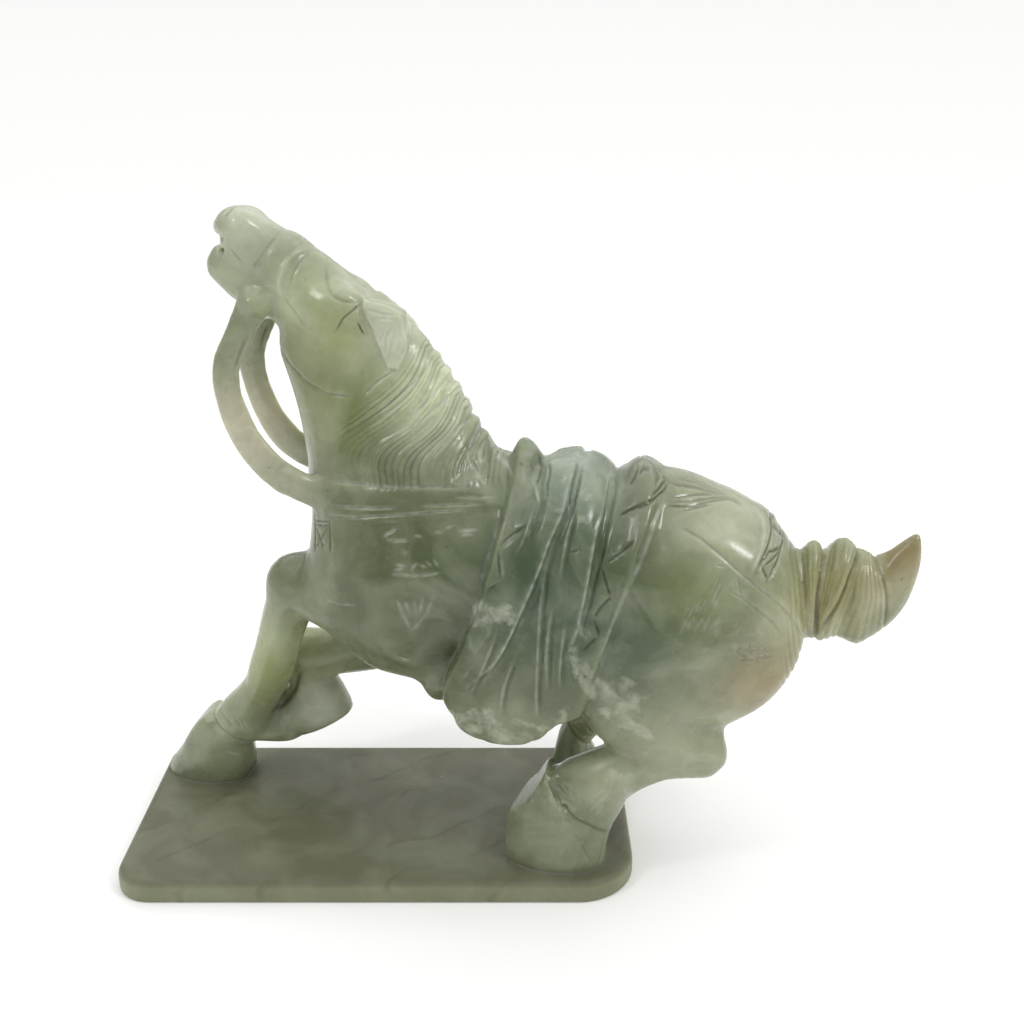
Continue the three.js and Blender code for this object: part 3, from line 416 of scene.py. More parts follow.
def carve_straps(skin):
    edges = smooth_all(
        [(-7.4, 119.3), (2.1, 120.1), (19.1, 120.5), (31.7, 119.9)],
        [(-6.9, 110.2), (4.8, 112.1), (14.3, 113.4), (25, 114.4), (33.2, 114.7)],
        [(-6.8, 113.1), (4, 114.5), (13.7, 115.2)],
        [(19.6, 116), (36.3, 115.9)],
        [(28.9, 117.9), (39.2, 117.5)],
    )
    skin.stroke(edges, 0.32, -0.4, cut=0.6, taper=5)
    breast = [
        [(9.7, 107.2), (11.3, 108.4), (13.3, 109.6)],
        [(10.7, 106.7), (13.6, 106.5), (16.8, 106.7)],
        [(18.7, 108), (20.5, 107.8)],
        [(24, 108.9), (25.9, 109.2)],
        [(26.9, 110.2), (28.5, 110.8)],
        [(29.8, 109.3), (32.4, 109.5), (35.2, 109.7)],
        [(30.6, 108.3), (34.2, 108.6)],
        [(12.7, 97.5), (16.2, 97.4), (20.2, 97.1), (25.5, 98.2)],
        [(13.4, 100.2), (16.4, 99.8)],
        [(13.1, 98.7), (15.7, 99.2)],
        [(17.8, 98.7), (19.3, 100.8)],
        [(20.2, 100.4), (22.2, 99.5)],
        [(21.9, 101.3), (23.4, 99.9)],
        [(23.7, 102), (25.3, 100.1)],
        [(-8.6, 86.6), (-3.9, 86.2), (1.3, 87.2)],
        [(12.7, 71.2), (14.4, 69.7), (16, 70)],
    ]
    skin.stroke(breast, 0.3, -0.35, cut=0.9, taper=1)
    tassel = [
        [(13.9, 90.4), (15.4, 85.3), (17.4, 80.3)],
        [(24.1, 91.8), (21.7, 85.9), (17.4, 80.3)],
        [(16.1, 90), (17.2, 85.9)],
        [(18.8, 90.5), (18.8, 85.4)],
        [(21, 91.5), (19.9, 85.9)],
    ]
    skin.stroke(tassel, 0.36, -0.35, cut=0.7, taper=1.2)
    front = [
        [(-13.8, 108.5), (-12.5, 103.9), (-12, 98.9)],
        [(-7.2, 109.7), (-6.4, 105.3), (-6.1, 101)],
        [(-13.1, 105.7), (-6.8, 107.9)],
        [(-12.5, 105.8), (-8.4, 101.3)],
        [(-7.1, 107.6), (-11.5, 100.5)],
        [(-13.4, 106.7), (-7.3, 108.8)],
    ]
    skin.stroke(front, 0.32, -0.35, cut=0.2, groove_darkening=0.6, taper=1)


def carve_cloth(skin):
    fold_a = smooth_all(
        [(59.2, 123.4), (58.6, 121), (58, 117), (56.5, 112.7), (54.8, 108.7), (53.4, 104), (52, 99.9),
         (49.6, 93.6), (46.4, 84.8), (41.3, 74.2), (37, 66)],
    )
    fold_b = smooth_all(
        [(68.2, 123.4), (68.3, 120), (67.6, 115), (67, 112.1), (66.4, 108.6), (65.9, 104.3), (65.5, 99.9),
         (64.6, 93), (63.4, 85.7), (60, 75)],
    )
    roll_a = [(51.8, 124.6), (55, 126.5), (59.8, 126), (60, 121), (59, 116.6), (57.4, 112.4),
              (55.7, 108.4), (54, 103.4), (52, 98), (49, 91), (46.5, 92), (49, 99), (50.6, 105),
              (52, 111), (53.2, 117)]
    roll_b = [(61.6, 126.4), (65, 127), (69.2, 125), (69.3, 120), (68.8, 115), (68.1, 112),
              (67.5, 108.4), (67, 104), (66.4, 99), (65.4, 92), (62.4, 92), (62.4, 99), (62.2, 106),
              (61.6, 112), (61.2, 118)]
    skin.leaf(roll_a, 0.9, edge=1.3)
    skin.leaf(roll_b, 0.9, edge=1.3)
    # Each fold crest is raised and whitened; the whitening is painted highlight along the crest.
    skin.stroke(fold_a, 0.45, 0.35, cut=0.6, taper=12)
    skin.stroke(fold_b, 0.45, 0.35, cut=0.55, taper=12)
    for fold in (fold_a[0], fold_b[0]):
        skin.stroke([[(x + 2.6, z) for x, z in fold]], 0.9, -0.4, groove_darkening=0.12, taper=8)
    rear = smooth_all(
        [(84.4, 118.9), (83.1, 115.6), (81.5, 111.2), (79.5, 105), (77, 99), (74.2, 91.4), (71.9, 84.6),
         (70.1, 77.1)],
    )
    # The hem's raised edge is whitened as painted highlight.
    skin.stroke(rear, 0.55, 0.3, cut=0.45, taper=5)
    under = smooth_all([(82.6, 117), (80.2, 110.9), (77.9, 104.6), (75.4, 98.6), (72.8, 91), (70.4, 84)])
    skin.stroke(under, 0.7, -0.3, groove_darkening=0.25, taper=8)
    border = smooth_all(
        [(69.8, 109.2), (69.4, 106.4), (68.9, 103.2), (68, 99.8), (67, 93.5), (66, 89.2), (65, 84.5)],
    )
    skin.stroke(border, 0.32, -0.4, groove_darkening=0.75)
    zigzag = [
        [(77.3, 110.2), (74.4, 107.3), (70.7, 104.2)],
        [(69.4, 102.9), (72, 96.2)],
        [(72.2, 95.8), (69.1, 91.8), (68.2, 89.8)],
        [(68, 89), (69.6, 84.6)],
        [(68.8, 84), (65.4, 79.8)],
    ]
    skin.stroke(zigzag, 0.32, -0.45, groove_darkening=0.85, taper=1)
    corner = [
        [(70.6, 105.9), (73.1, 106.8), (76.6, 108.1)],
        [(74.2, 109.7), (73.1, 107.3)],
    ]
    skin.stroke(corner, 0.3, -0.3, cut=0.6)
    front = smooth_all(
        [(40.6, 112.5), (38.4, 103.2), (36, 95.2)],
        [(48.6, 111.6), (44.7, 108.2), (42.5, 106.4)],
        [(49.8, 112.9), (49.5, 110.2)],
        [(42.4, 105.6), (43, 101.8), (43.5, 98.5)],
        [(38.3, 92.6), (34.2, 85.1), (34.1, 79.8), (35.8, 76.2)],
        [(38.3, 91.9), (39.7, 83.3), (35.4, 76.3)],
        [(36.6, 74.4), (31.9, 67.9)],
    )
    skin.stroke(front, 0.34, -0.4, cut=0.6, groove_darkening=0.1)
    dark = [
        [(42, 107.2), (44.5, 109.4), (48.4, 112.4)],
        [(41.4, 106.4), (42, 102), (42.6, 98.6)],
        [(41.8, 97.4), (39, 94.9)],
        [(60.8, 107), (63.6, 107.8)],
    ]
    skin.stroke(dark, 0.34, -0.45, groove_darkening=0.75)
    grooves = smooth_all(
        [(55.5, 102.8), (54.6, 92.4), (53.8, 66.4), (54, 58)],
        [(51.4, 117.1), (49.5, 109.4), (47.2, 105)],
        [(49.4, 89.9), (43.3, 75.9), (34.4, 66)],
        [(62.4, 118), (60.8, 110), (59.6, 100)],
    )
    folds = smooth_all(
        [(43, 84), (39.6, 74), (35.4, 64)],
        [(57.8, 92), (56.6, 80), (56.8, 68)],
        [(61.4, 88), (60.4, 77), (60.2, 68)],
        [(47.6, 76), (44.6, 66), (43.4, 58)],
    )
    skin.stroke(grooves + folds, 0.6, -0.6, groove_darkening=0.15, taper=6)
    lips = [[(x - 1, z) for x, z in line] for line in grooves + folds]
    skin.stroke(lips, 0.4, 0.28, cut=0.4, taper=6)
    rolls = smooth_all(
        [(59.9, 126.4), (60.4, 124.3), (60.1, 122.2), (59.8, 118), (59.2, 115.7)],
        [(61.6, 124.6), (61.5, 121.4), (61.1, 118.7), (61.2, 116.3)],
        [(51.4, 124.6), (53.3, 123), (53.3, 121.1), (53.8, 118.6)],
        [(68.7, 121.4), (70.1, 120.7), (70.6, 119.6)],
    )
    skin.stroke(rolls, 0.45, -0.5, groove_darkening=0.5)
    pommel = smooth_all([(48.7, 126), (49.8, 123.6), (50, 122.6), (49.9, 121.5), (49.4, 120.2)])
    skin.stroke(pommel, 0.4, -0.5, groove_darkening=0.75)
    pad = smooth_all([(48.4, 121.2), (50.2, 119.7), (51.3, 118), (51.3, 116.6)])
    skin.stroke(pad, 0.4, 0.35, cut=0.6)
    cantle = [
        [(75.6, 126), (76.6, 124.6), (76, 123.3), (74.8, 121.6)],
        [(80.3, 124.6), (78.2, 125), (77, 123.9)],
        [(80.2, 124.8), (81.8, 123.8), (82.5, 122.9), (82, 121.6)],
        [(81.8, 125), (83.4, 122.9), (84, 121.8)],
        [(84.9, 121.6), (84.1, 120.2), (82.3, 119.3), (79.8, 118.9)],
        [(84.6, 122.1), (83, 120.8), (81.2, 120.1)],
        [(79.8, 118.9), (75.7, 116.7), (73.2, 115.2)],
        [(82.3, 119.3), (80.4, 118.5), (77.3, 117.2)],
    ]
    skin.stroke(cantle, 0.32, -0.45, groove_darkening=0.8, taper=1)


def carve_rump(skin):
    hair = smooth_all(
        [(85.2, 122.5), (91.2, 121.5), (96.8, 119.4), (101.7, 117.4)],
        [(86.4, 122.1), (92.4, 120.8), (97.9, 118.6)],
        [(85.2, 121.3), (92, 120.2), (97.9, 118.5), (102.3, 117.4)],
        [(85.9, 118.8), (92.1, 119), (98.5, 118.3)],
        [(85.7, 118), (92.8, 118), (99.1, 117.7), (103.4, 116.3)],
        [(85, 117.1), (91.3, 117), (97, 117.4), (101.8, 116.9), (105.3, 115.2)],
        [(88.8, 116), (92.4, 116.6), (97, 116.9)],
    )
    skin.stroke(hair, 0.28, -0.3, groove_darkening=0.5)
    ridge = smooth_all(
        [(110.6, 115.4), (112, 113), (113.1, 110.3), (112.6, 107.4), (111.1, 104.4), (109.3, 101)],
    )
    skin.stroke(ridge, 2.1, 0.75, taper=1.5, over=True)
    crest = smooth_all([(108.6, 113.6), (110.7, 111.2), (110.9, 108.8), (109.7, 105.6), (107.9, 102)])
    skin.stroke(crest, 0.45, 0.2, cut=0.5, over=True)
    sides = smooth_all(
        [(111.6, 113.4), (112.9, 110), (112.6, 108.3), (111.8, 106.7), (110.4, 104.4), (109.2, 102)],
        [(116.6, 110.6), (117, 108.2), (116.9, 106.5), (116.2, 105.2), (114.7, 103.3), (112.3, 99.5)],
    )
    skin.stroke(sides, 0.3, -0.45, groove_darkening=0.9, over=True)
    zigzag = [
        [(112.8, 110.4), (116.4, 110.3)],
        [(113.1, 109.6), (116.6, 106.8)],
        [(116.2, 105.4), (112.4, 106), (110.8, 104.5)],
        [(115.6, 105.1), (111.4, 103.6)],
        [(110.6, 103.4), (112.6, 100.5)],
    ]
    skin.stroke(zigzag, 0.28, -0.4, groove_darkening=0.85, taper=0.8, over=True)
    strap = smooth_all(
        [(89.1, 112.7), (93.4, 111.1), (97.7, 108.5), (102.1, 105.3), (106.4, 101.8), (110.8, 98.2),
         (114.1, 95.6), (119.3, 89.8), (123.4, 82.6)],
        [(102.5, 98.7), (106.8, 95.8), (111.2, 92.3), (115.1, 88.5), (117.4, 84.6)],
    )
    skin.stroke(strap, 0.34, -0.35, cut=0.3, groove_darkening=0.15)
    pendants = [
        [(99, 104.7), (101.4, 104.1)],
        [(104.9, 101.4), (106, 96.8), (108.4, 96.2)],
        [(102.5, 98.7), (103.5, 99.9), (105, 100.9)],
        [(100.3, 101.5), (98.3, 96.5)],
        [(101.1, 100), (98.7, 94.5)],
        [(100.6, 96.5), (99.3, 92.9)],
        [(97.5, 96), (95.7, 91.8)],
        [(96.5, 96.4), (94.2, 91.7)],
        [(95, 94.8), (92.7, 90.6)],
        [(93.2, 94.2), (91.9, 91.1)],
        [(98.8, 91.9), (97, 87.6)],
        [(96.8, 91.3), (94.9, 87.6)],
        [(94.7, 91.7), (92.4, 87.5)],
        [(92.7, 90.6), (90.9, 86.3)],
    ]
    skin.stroke(pendants, 0.3, -0.35, cut=0.55, groove_darkening=0.15, taper=1)
    rosette = [
        [(105.6, 82.3), (110.1, 78.6)],
        [(111.3, 83), (111.2, 77.9)],
        [(113.8, 82.3), (110, 79.2)],
        [(107.7, 82.3), (114.7, 80.7)],
        [(106.9, 79.5), (115.3, 79.4)],
        [(112.4, 82.2), (113.8, 78.5)],
        [(108.7, 82.8), (112.2, 77.7)],
    ]
    skin.stroke(rosette, 0.3, -0.3, cut=0.3, groove_darkening=0.3, taper=0.8)
    skin.stroke(smooth_all([(75.7, 99.5), (78.1, 95.7), (81.5, 91.3), (85, 86.3)]), 0.8, -0.3)


# The tail's three rolls, from the buttock out to the tip: where each begins and ends at these heights,
# and how many strands each has
TAIL_HEIGHTS = [68, 80, 86, 92, 98, 104, 108]
TAIL_EDGES = [
    [127.5, 125.4, 124.6, 123.8, 122.8, 121.5, 121],
    [129, 127.4, 127.1, 126.8, 127.4, 128.2, 129],
    [131.5, 129.4, 130.4, 132.9, 134.8, 137.6, 139.5],
    [146, 146, 145.8, 145.2, 143.5, 140.8, 140],
]
TAIL_STRANDS = [4, 6, 8]


def carve_tail(skin):
    x, z = skin.x, skin.z
    edges = [np.interp(z, TAIL_HEIGHTS, edge) for edge in TAIL_EDGES]
    region = ease(117.5, 119.5, x) * ease(0.6, -0.8, x - edges[3]) * (z > 66)
    turn = np.zeros(len(x))
    for first, last, count in zip(edges[:-1], edges[1:], TAIL_STRANDS):
        share = np.clip((x - first) / np.maximum(last - first, 0.5), 0, 1)
        turn += count * share
        skin.lift += 2 * region * share * (1 - share) * ease(68, 78, z)
    turn += np.minimum(x - edges[0], 0) / 1.4 + 0.12 * sway(turn, z / 6, 2.2)
    strands = (0.5 + 0.5 * np.cos(2 * math.pi * turn)) ** 3
    patchy = np.clip(0.6 + 0.5 * sway(turn * 0.8, z / 7, 5.5), 0.1, 1)
    skin.lift -= 0.3 * region * strands * patchy
    skin.cut = np.maximum(skin.cut, 0.4 * region * strands * ease(0.6, 1, patchy))
    skin.groove_darkening = np.maximum(skin.groove_darkening, 0.4 * region * strands * (1 - patchy))
    rolls = smooth_all(
        [(128.4, 104.6), (127.8, 101.2), (127.3, 97.5), (126.8, 92.1), (127.1, 85.6), (127.9, 80)],
        [(137.8, 104.6), (136.4, 101.4), (134.9, 98.3), (133.5, 93.9), (131.6, 88.9), (128.8, 82.5)],
    )
    skin.stroke(rolls, 0.5, -0.6, groove_darkening=0.5)
    tip = smooth_all(
        [(140.4, 103.6), (141.7, 100.9), (143.4, 98.2), (144.8, 94.5), (145.6, 90.4), (145.8, 85.8),
         (145.9, 81)],
    )
    skin.stroke(tip, 0.45, -0.45, groove_darkening=0.35)


def carve_legs(skin):
    coronets = smooth_all(
        [(-57.4, 31.4), (-56.5, 30.2), (-52, 27), (-47, 23.8), (-42.4, 22)],
        [(55.3, 37.2), (58.9, 31.6), (63, 27), (68.6, 23), (73.1, 18.6)],
    )
    skin.stroke(coronets, 0.45, -0.45, groove_darkening=0.35)
    hair = [
        [(-51.1, 32.1), (-48.7, 29.3)],
        [(-48.5, 32.7), (-45.9, 29.2)],
        [(-46, 33.1), (-44, 27.8)],
        [(-53.3, 32.9), (-51.1, 31.3)],
        [(57.4, 34.9), (63, 31.7)],
        [(60.2, 35.4), (62.1, 33.9)],
        [(62.8, 35), (64.6, 32.2)],
        [(59.6, 32.2), (64.6, 30.3)],
        [(65.4, 33.3), (67, 30.9)],
        [(64.1, 20.6), (67.3, 14), (68.5, 9.8)],
        [(72.8, 17.5), (71.7, 14.9), (71.1, 8.6)],
    ]
    skin.stroke(hair, 0.32, -0.35, cut=0.3, groove_darkening=0.3, taper=1.5)
    pale = [
        [(-53, 19.7), (-49.1, 16.7)],
        [(68.2, 31.7), (72.4, 37)],
        [(68.6, 29.1), (73.6, 35.6)],
        [(70.2, 26.7), (71.7, 31.2)],
        [(80, 50.3), (85.4, 47.6)],
    ]
    skin.stroke(pale, 0.32, -0.3, cut=0.6, taper=1)
    # The dark line where the curled foreleg meets the planted one is painted shade, on the near side
    # only.
    cleft = smooth_all([(-27.2, 48.1), (-30.6, 39.9), (-34.4, 34.9), (-37.4, 33)])
    skin.stroke(cleft, 0.7, -0.3, groove_darkening=0.9, far=False)


def smooth_form(piece):
    """Follows the stone's form closely, evens it out and carves it."""
    apply_modifier(piece, "REMESH", mode="VOXEL", voxel_size=SKIN_STEP * MM, adaptivity=0)
    mesh = piece.data
    points = read_points(mesh, "co")
    # The slab is evened out a quarter as much as the horse, which keeps its edges.
    above = ease(SLAB_THICKNESS - 0.4, SLAB_THICKNESS + 0.8, points[:, 2] / MM)
    points = relax(points, neighbours(mesh), 0.25 + 0.75 * above, RELAX_ROUNDS)
    move_points(mesh, points)
    normals = read_points(mesh, "normal")
    skin = Skin(points, normals)
    carve_head(skin)
    carve_mane(skin)
    carve_straps(skin)
    carve_cloth(skin)
    carve_rump(skin)
    carve_tail(skin)
    carve_legs(skin)
    add_layer(mesh, "lost_polish_and_highlight", skin.cut)
    add_layer(mesh, "groove_darkening", skin.groove_darkening)
    move_points(mesh, points + normals * (skin.lift * MM)[:, None])
    triangles = 2 * len(mesh.polygons)
    apply_modifier(piece, "DECIMATE", ratio=min(1, SKIN_TRIANGLES / triangles))
    bpy.ops.object.shade_smooth()
    return piece


def linear(code):
    """sRGB hex to linear red, green, blue and full alpha."""
    parts = [int(code[i:i + 2], 16) / 255 for i in (1, 3, 5)]
    return tuple(v / 12.92 if v <= 0.04045 else ((v + 0.055) / 1.055) ** 2.4 for v in parts) + (1.0,)


# The stone's colours, the horse's first and then those of the slab's sides and top. Some are darker or
# paler than the stone itself, as painted shade and painted light, and the top's colour is partly painted
# shade from the horse over it.
STONE_AND_LIGHT_TINTS = {
    "milk": "#cdd1bd",
    "mist": "#aeb196",
    "pale_green": "#c9d1b0",
    "apple_green": "#a5ab79",
    "grey_green": "#757d61",
    "olive_green": "#747f46",
    "moss_green": "#47532a",
    "sea_green": "#3e5138",
    "sea_mist": "#7c897b",
    "ivory": "#c4c0aa",
    "straw": "#a09b6d",
    "ochre": "#96855e",
    "slab_side": "#818367",
    "slab_top_in_shade": "#5e5e48",
}

# Where each colour gathers: (x, y or None for both sides, z) in the horse's millimetres, reach, colour
# and how far it goes there. Besides the stone's own tones, the table paints light and shade. The darker
# greens on the chest, the cloth and the thigh are partly painted shade under the body. The paler tones on
# the head, the brow, the mane, the rump top and the buttock are partly painted light from above and
# through thin stone. The ivory of the reins is partly their painted glow.
GATHERS = [
    ((-31, None, 187), 11, "milk", 0.78),
    ((-37, None, 174), 7, "pale_green", 0.45),
    ((-16, None, 168), 12, "pale_green", 0.75),
    ((-5, None, 157), 13, "apple_green", 0.92),
    ((-1, None, 174), 6, "milk", 0.62),
    ((10, None, 160), 7, "milk", 0.75),
    # Partly painted light: the mane is paler where light falls on it from above.
    ((20, None, 145), 15, "pale_green", 0.95),
    ((-7, None, 136), 14, "olive_green", 0.86),
    ((-9, None, 141), 9, "olive_green", 0.85),
    # Partly painted shade: darker greens on the chest and low under the neck and belly.
    ((4, None, 105), 21, "moss_green", 0.48),
    ((27, None, 82), 26, "moss_green", 0.95),
    ((29, None, 92), 10, "moss_green", 0.6),
    # Partly painted shade: a darker green over the saddle cloth.
    ((58, None, 96), 27, "sea_green", 0.94),
    ((60, None, 124), 11, "sea_mist", 0.85),
    ((45, None, 54), 11, "grey_green", 0.95),
    ((79, None, 66), 9, "grey_green", 0.8),
    ((60, None, 20), 9, "grey_green", 0.8),
    # Partly painted light: paler on the top of the rump.
    ((101, None, 114), 16, "mist", 0.85),
    ((92, None, 95), 12, "olive_green", 0.55),
    # Partly painted shade: darker on the thigh.
    ((79, None, 80), 15, "sea_green", 0.66),
    # Partly painted light: paler on the buttock, where light shows through the stone.
    ((122, None, 88), 12, "mist", 0.85),
    ((114, None, 68), 13, "ochre", 0.95),
    ((132, None, 91), 14, "straw", 1.0),
    ((142, None, 93), 5, "ivory", 0.6),
    ((136, None, 91), 4, "olive_green", 0.3),
    ((151, None, 101), 9, "ochre", 1.0),
    # Partly painted glow: the thin reins are paler, as if lit through.
    ((-35, None, 130), 19, "ivory", 1.0),
    ((-18, None, 118), 6, "ivory", 0.4),
    ((-34, None, 56), 20, "apple_green", 0.9),
    ((-29, None, 66), 8, "pale_green", 0.35),
    ((-20, 6, 36), 9, "milk", 0.95),
    ((-52, None, 24), 14, "pale_green", 0.5),
    ((94, None, 50), 17, "mist", 0.85),
    # Painted light: the far hind leg is lightened against the shade it stands in.
    ((60, 14, 44), 15, "apple_green", 0.9),
    ((71.7, -22, 48), 4, "olive_green", 0.5),
    ((71, -27, 38), 8, "mist", 0.6),
]

# Milky clouds on the near side: how strong each is, and its outline of (x, z). They fade out over an edge
# this wide, in millimetres.
CLOUD_EDGE = 1.2
CLOUDS = [
    (0.3, [(60.5, 83), (64.5, 80.7), (68.7, 75.2), (70.7, 70.3), (74.8, 73), (78.7, 73.1),
           (80.9, 71.7), (77.7, 68.8), (84.3, 68.2), (83.8, 66.1), (79.5, 64.1), (83.9, 62.8),
           (81.8, 60.5), (79.2, 60), (84.1, 56.1), (89, 50.8), (80.4, 54.1), (74.5, 56.6),
           (69.4, 60.7), (66.3, 65.9), (62.5, 73.1)]),
    (0.28, [(26.2, 60.6), (29.8, 57.7), (33.9, 59), (39.6, 58.8), (43.8, 55.9), (49.6, 58), (53.7, 55.6),
            (58.2, 60.7), (63.7, 66.8), (61, 57), (50, 45), (34, 47), (26, 55)]),
    (0.3, [(33.7, 89.1), (37.7, 92.5), (42.7, 91.3), (47.7, 92.5), (48.7, 88.1), (45.5, 85.2), (40, 85.8),
           (35.8, 84.2), (32.5, 85)]),
    (0.24, [(50.8, 29.4), (56.2, 34.2), (59.7, 29.7), (65.5, 28.2), (68.3, 23.2), (64.2, 21.6),
           (58.8, 24.7), (54.1, 23.8)]),
]
# Fainter clouds and rusty spots: place, reach and strength
MILKY = [
    ((-26, -10, 188), 8, 0.2), ((60, -20, 122), 12, 0.2), ((100, -26, 86), 12, 0.18),
    ((6, -24, 96), 12, 0.16), ((62, -28, 82), 7, 0.2), ((78, -26, 40), 8, 0.25),
]
RUSTY = [
    ((148, -4, 98), 5, 0.22), ((46, -8, 124), 3, 0.4), ((60, -10, 12), 6, 0.36),
    ((110, -24, 84), 7, 0.18), ((-30, 4, 50), 5, 0.32), ((-44, 15, 8), 3, 0.3),
    ((-19.5, -10, 62.6), 3, 0.3), ((130, -9, 100), 7, 0.16),
]


def paint_stone(piece):
    """Lays the colours, with their painted light and shade, the milky clouds and the rusty spots over the
    carved skin.
    """
    mesh = piece.data
    count = len(mesh.vertices)
    skin = Skin(read_points(mesh, "co"), np.zeros((count, 3)))

    def shade(name):
        return np.array(linear(STONE_AND_LIGHT_TINTS[name]))

    def nearness(place, reach):
        x, y, z = place
        across = 0 if y is None else skin.y - y
        return np.exp(-((skin.x - x) ** 2 + across**2 + (skin.z - z) ** 2) / reach**2)

    def spread(values, places):
        for place, reach, share in places:
            values = np.maximum(values, share * nearness(place, reach))
        return values

    colour = np.tile(shade("grey_green"), (count, 1))
    for place, reach, name, share in GATHERS:
        weight = (share * nearness(place, reach))[:, None]
        colour = colour * (1 - weight) + shade(name) * weight
    # The slab's colour fades out up the lowest 2 mm of the hooves. It changes from that of the sides to
    # that of the top over the eased edge. The top's darker colour is partly the stone's own tone and
    # partly painted shade from the horse above it.
    slab = ease(8.5, 6.5, skin.z)[:, None]
    face = ease(4.6, 6.6, skin.z)[:, None]
    block = shade("slab_side") * (1 - face) + shade("slab_top_in_shade") * face
    colour = colour * (1 - slab) + block * slab
    clouds = np.zeros(count)
    for share, outline in CLOUDS:
        hit, amount = skin.inside(outline, CLOUD_EDGE)
        clouds[hit] = np.maximum(clouds[hit], share * amount * (skin.y[hit] < 0))
    add_layer(mesh, "stone_colour", colour, "FLOAT_COLOR", "color")
    add_layer(mesh, "milky", spread(clouds, MILKY))
    add_layer(mesh, "rusty", spread(np.zeros(count), RUSTY))
    add_layer(mesh, "slab", slab)


def add_node(tree, kind, output, inputs, **settings):
    """Adds a node and gives back one of its outputs. Inputs and outputs go by name or by number, and an
    input is either another node's output or a plain value."""
    node = tree.nodes.new(kind)
    for name, value in settings.items():
        setattr(node, name, value)
    for socket, value in inputs.items():
        if isinstance(value, bpy.types.NodeSocket):
            tree.links.new(value, node.inputs[socket])
        else:
            node.inputs[socket].default_value = value
    return node.outputs[output]


# The stone's uneven patterns: how large each is, in millimetres, then its detail, roughness and
# distortion. The real grain of the polish is far finer, and is drawn this coarse so that it shows.
PATTERNS = {
    "clouds": (18, 4, 0.55, 0.8),
    "wisps": (6, 5, 0.6, 1.0),
    "ragged_edges": (5, 4, 0.6, 0.3),
    "vein_breaks": (14, 2, 0.5, 0.0),
    "rust": (1.6, 3, 0.55, 0.4),
    "gloss": (12, 3, 0.5, 0.0),
    "dimples": (3.5, 2, 0.5, 0.0),
    "grain": (0.7, 2, 0.5, 0.0),
}

# The slab's veins run askew by this many degrees, this far apart in millimetres, and the specks lie
# about this far apart. At a scale of 1 the wave that draws the veins repeats every 0.314 m.
VEIN_TURN = -34
VEIN_GAP = 17
WAVE_REPEAT = 0.314
SPECK_GAP = 9.3


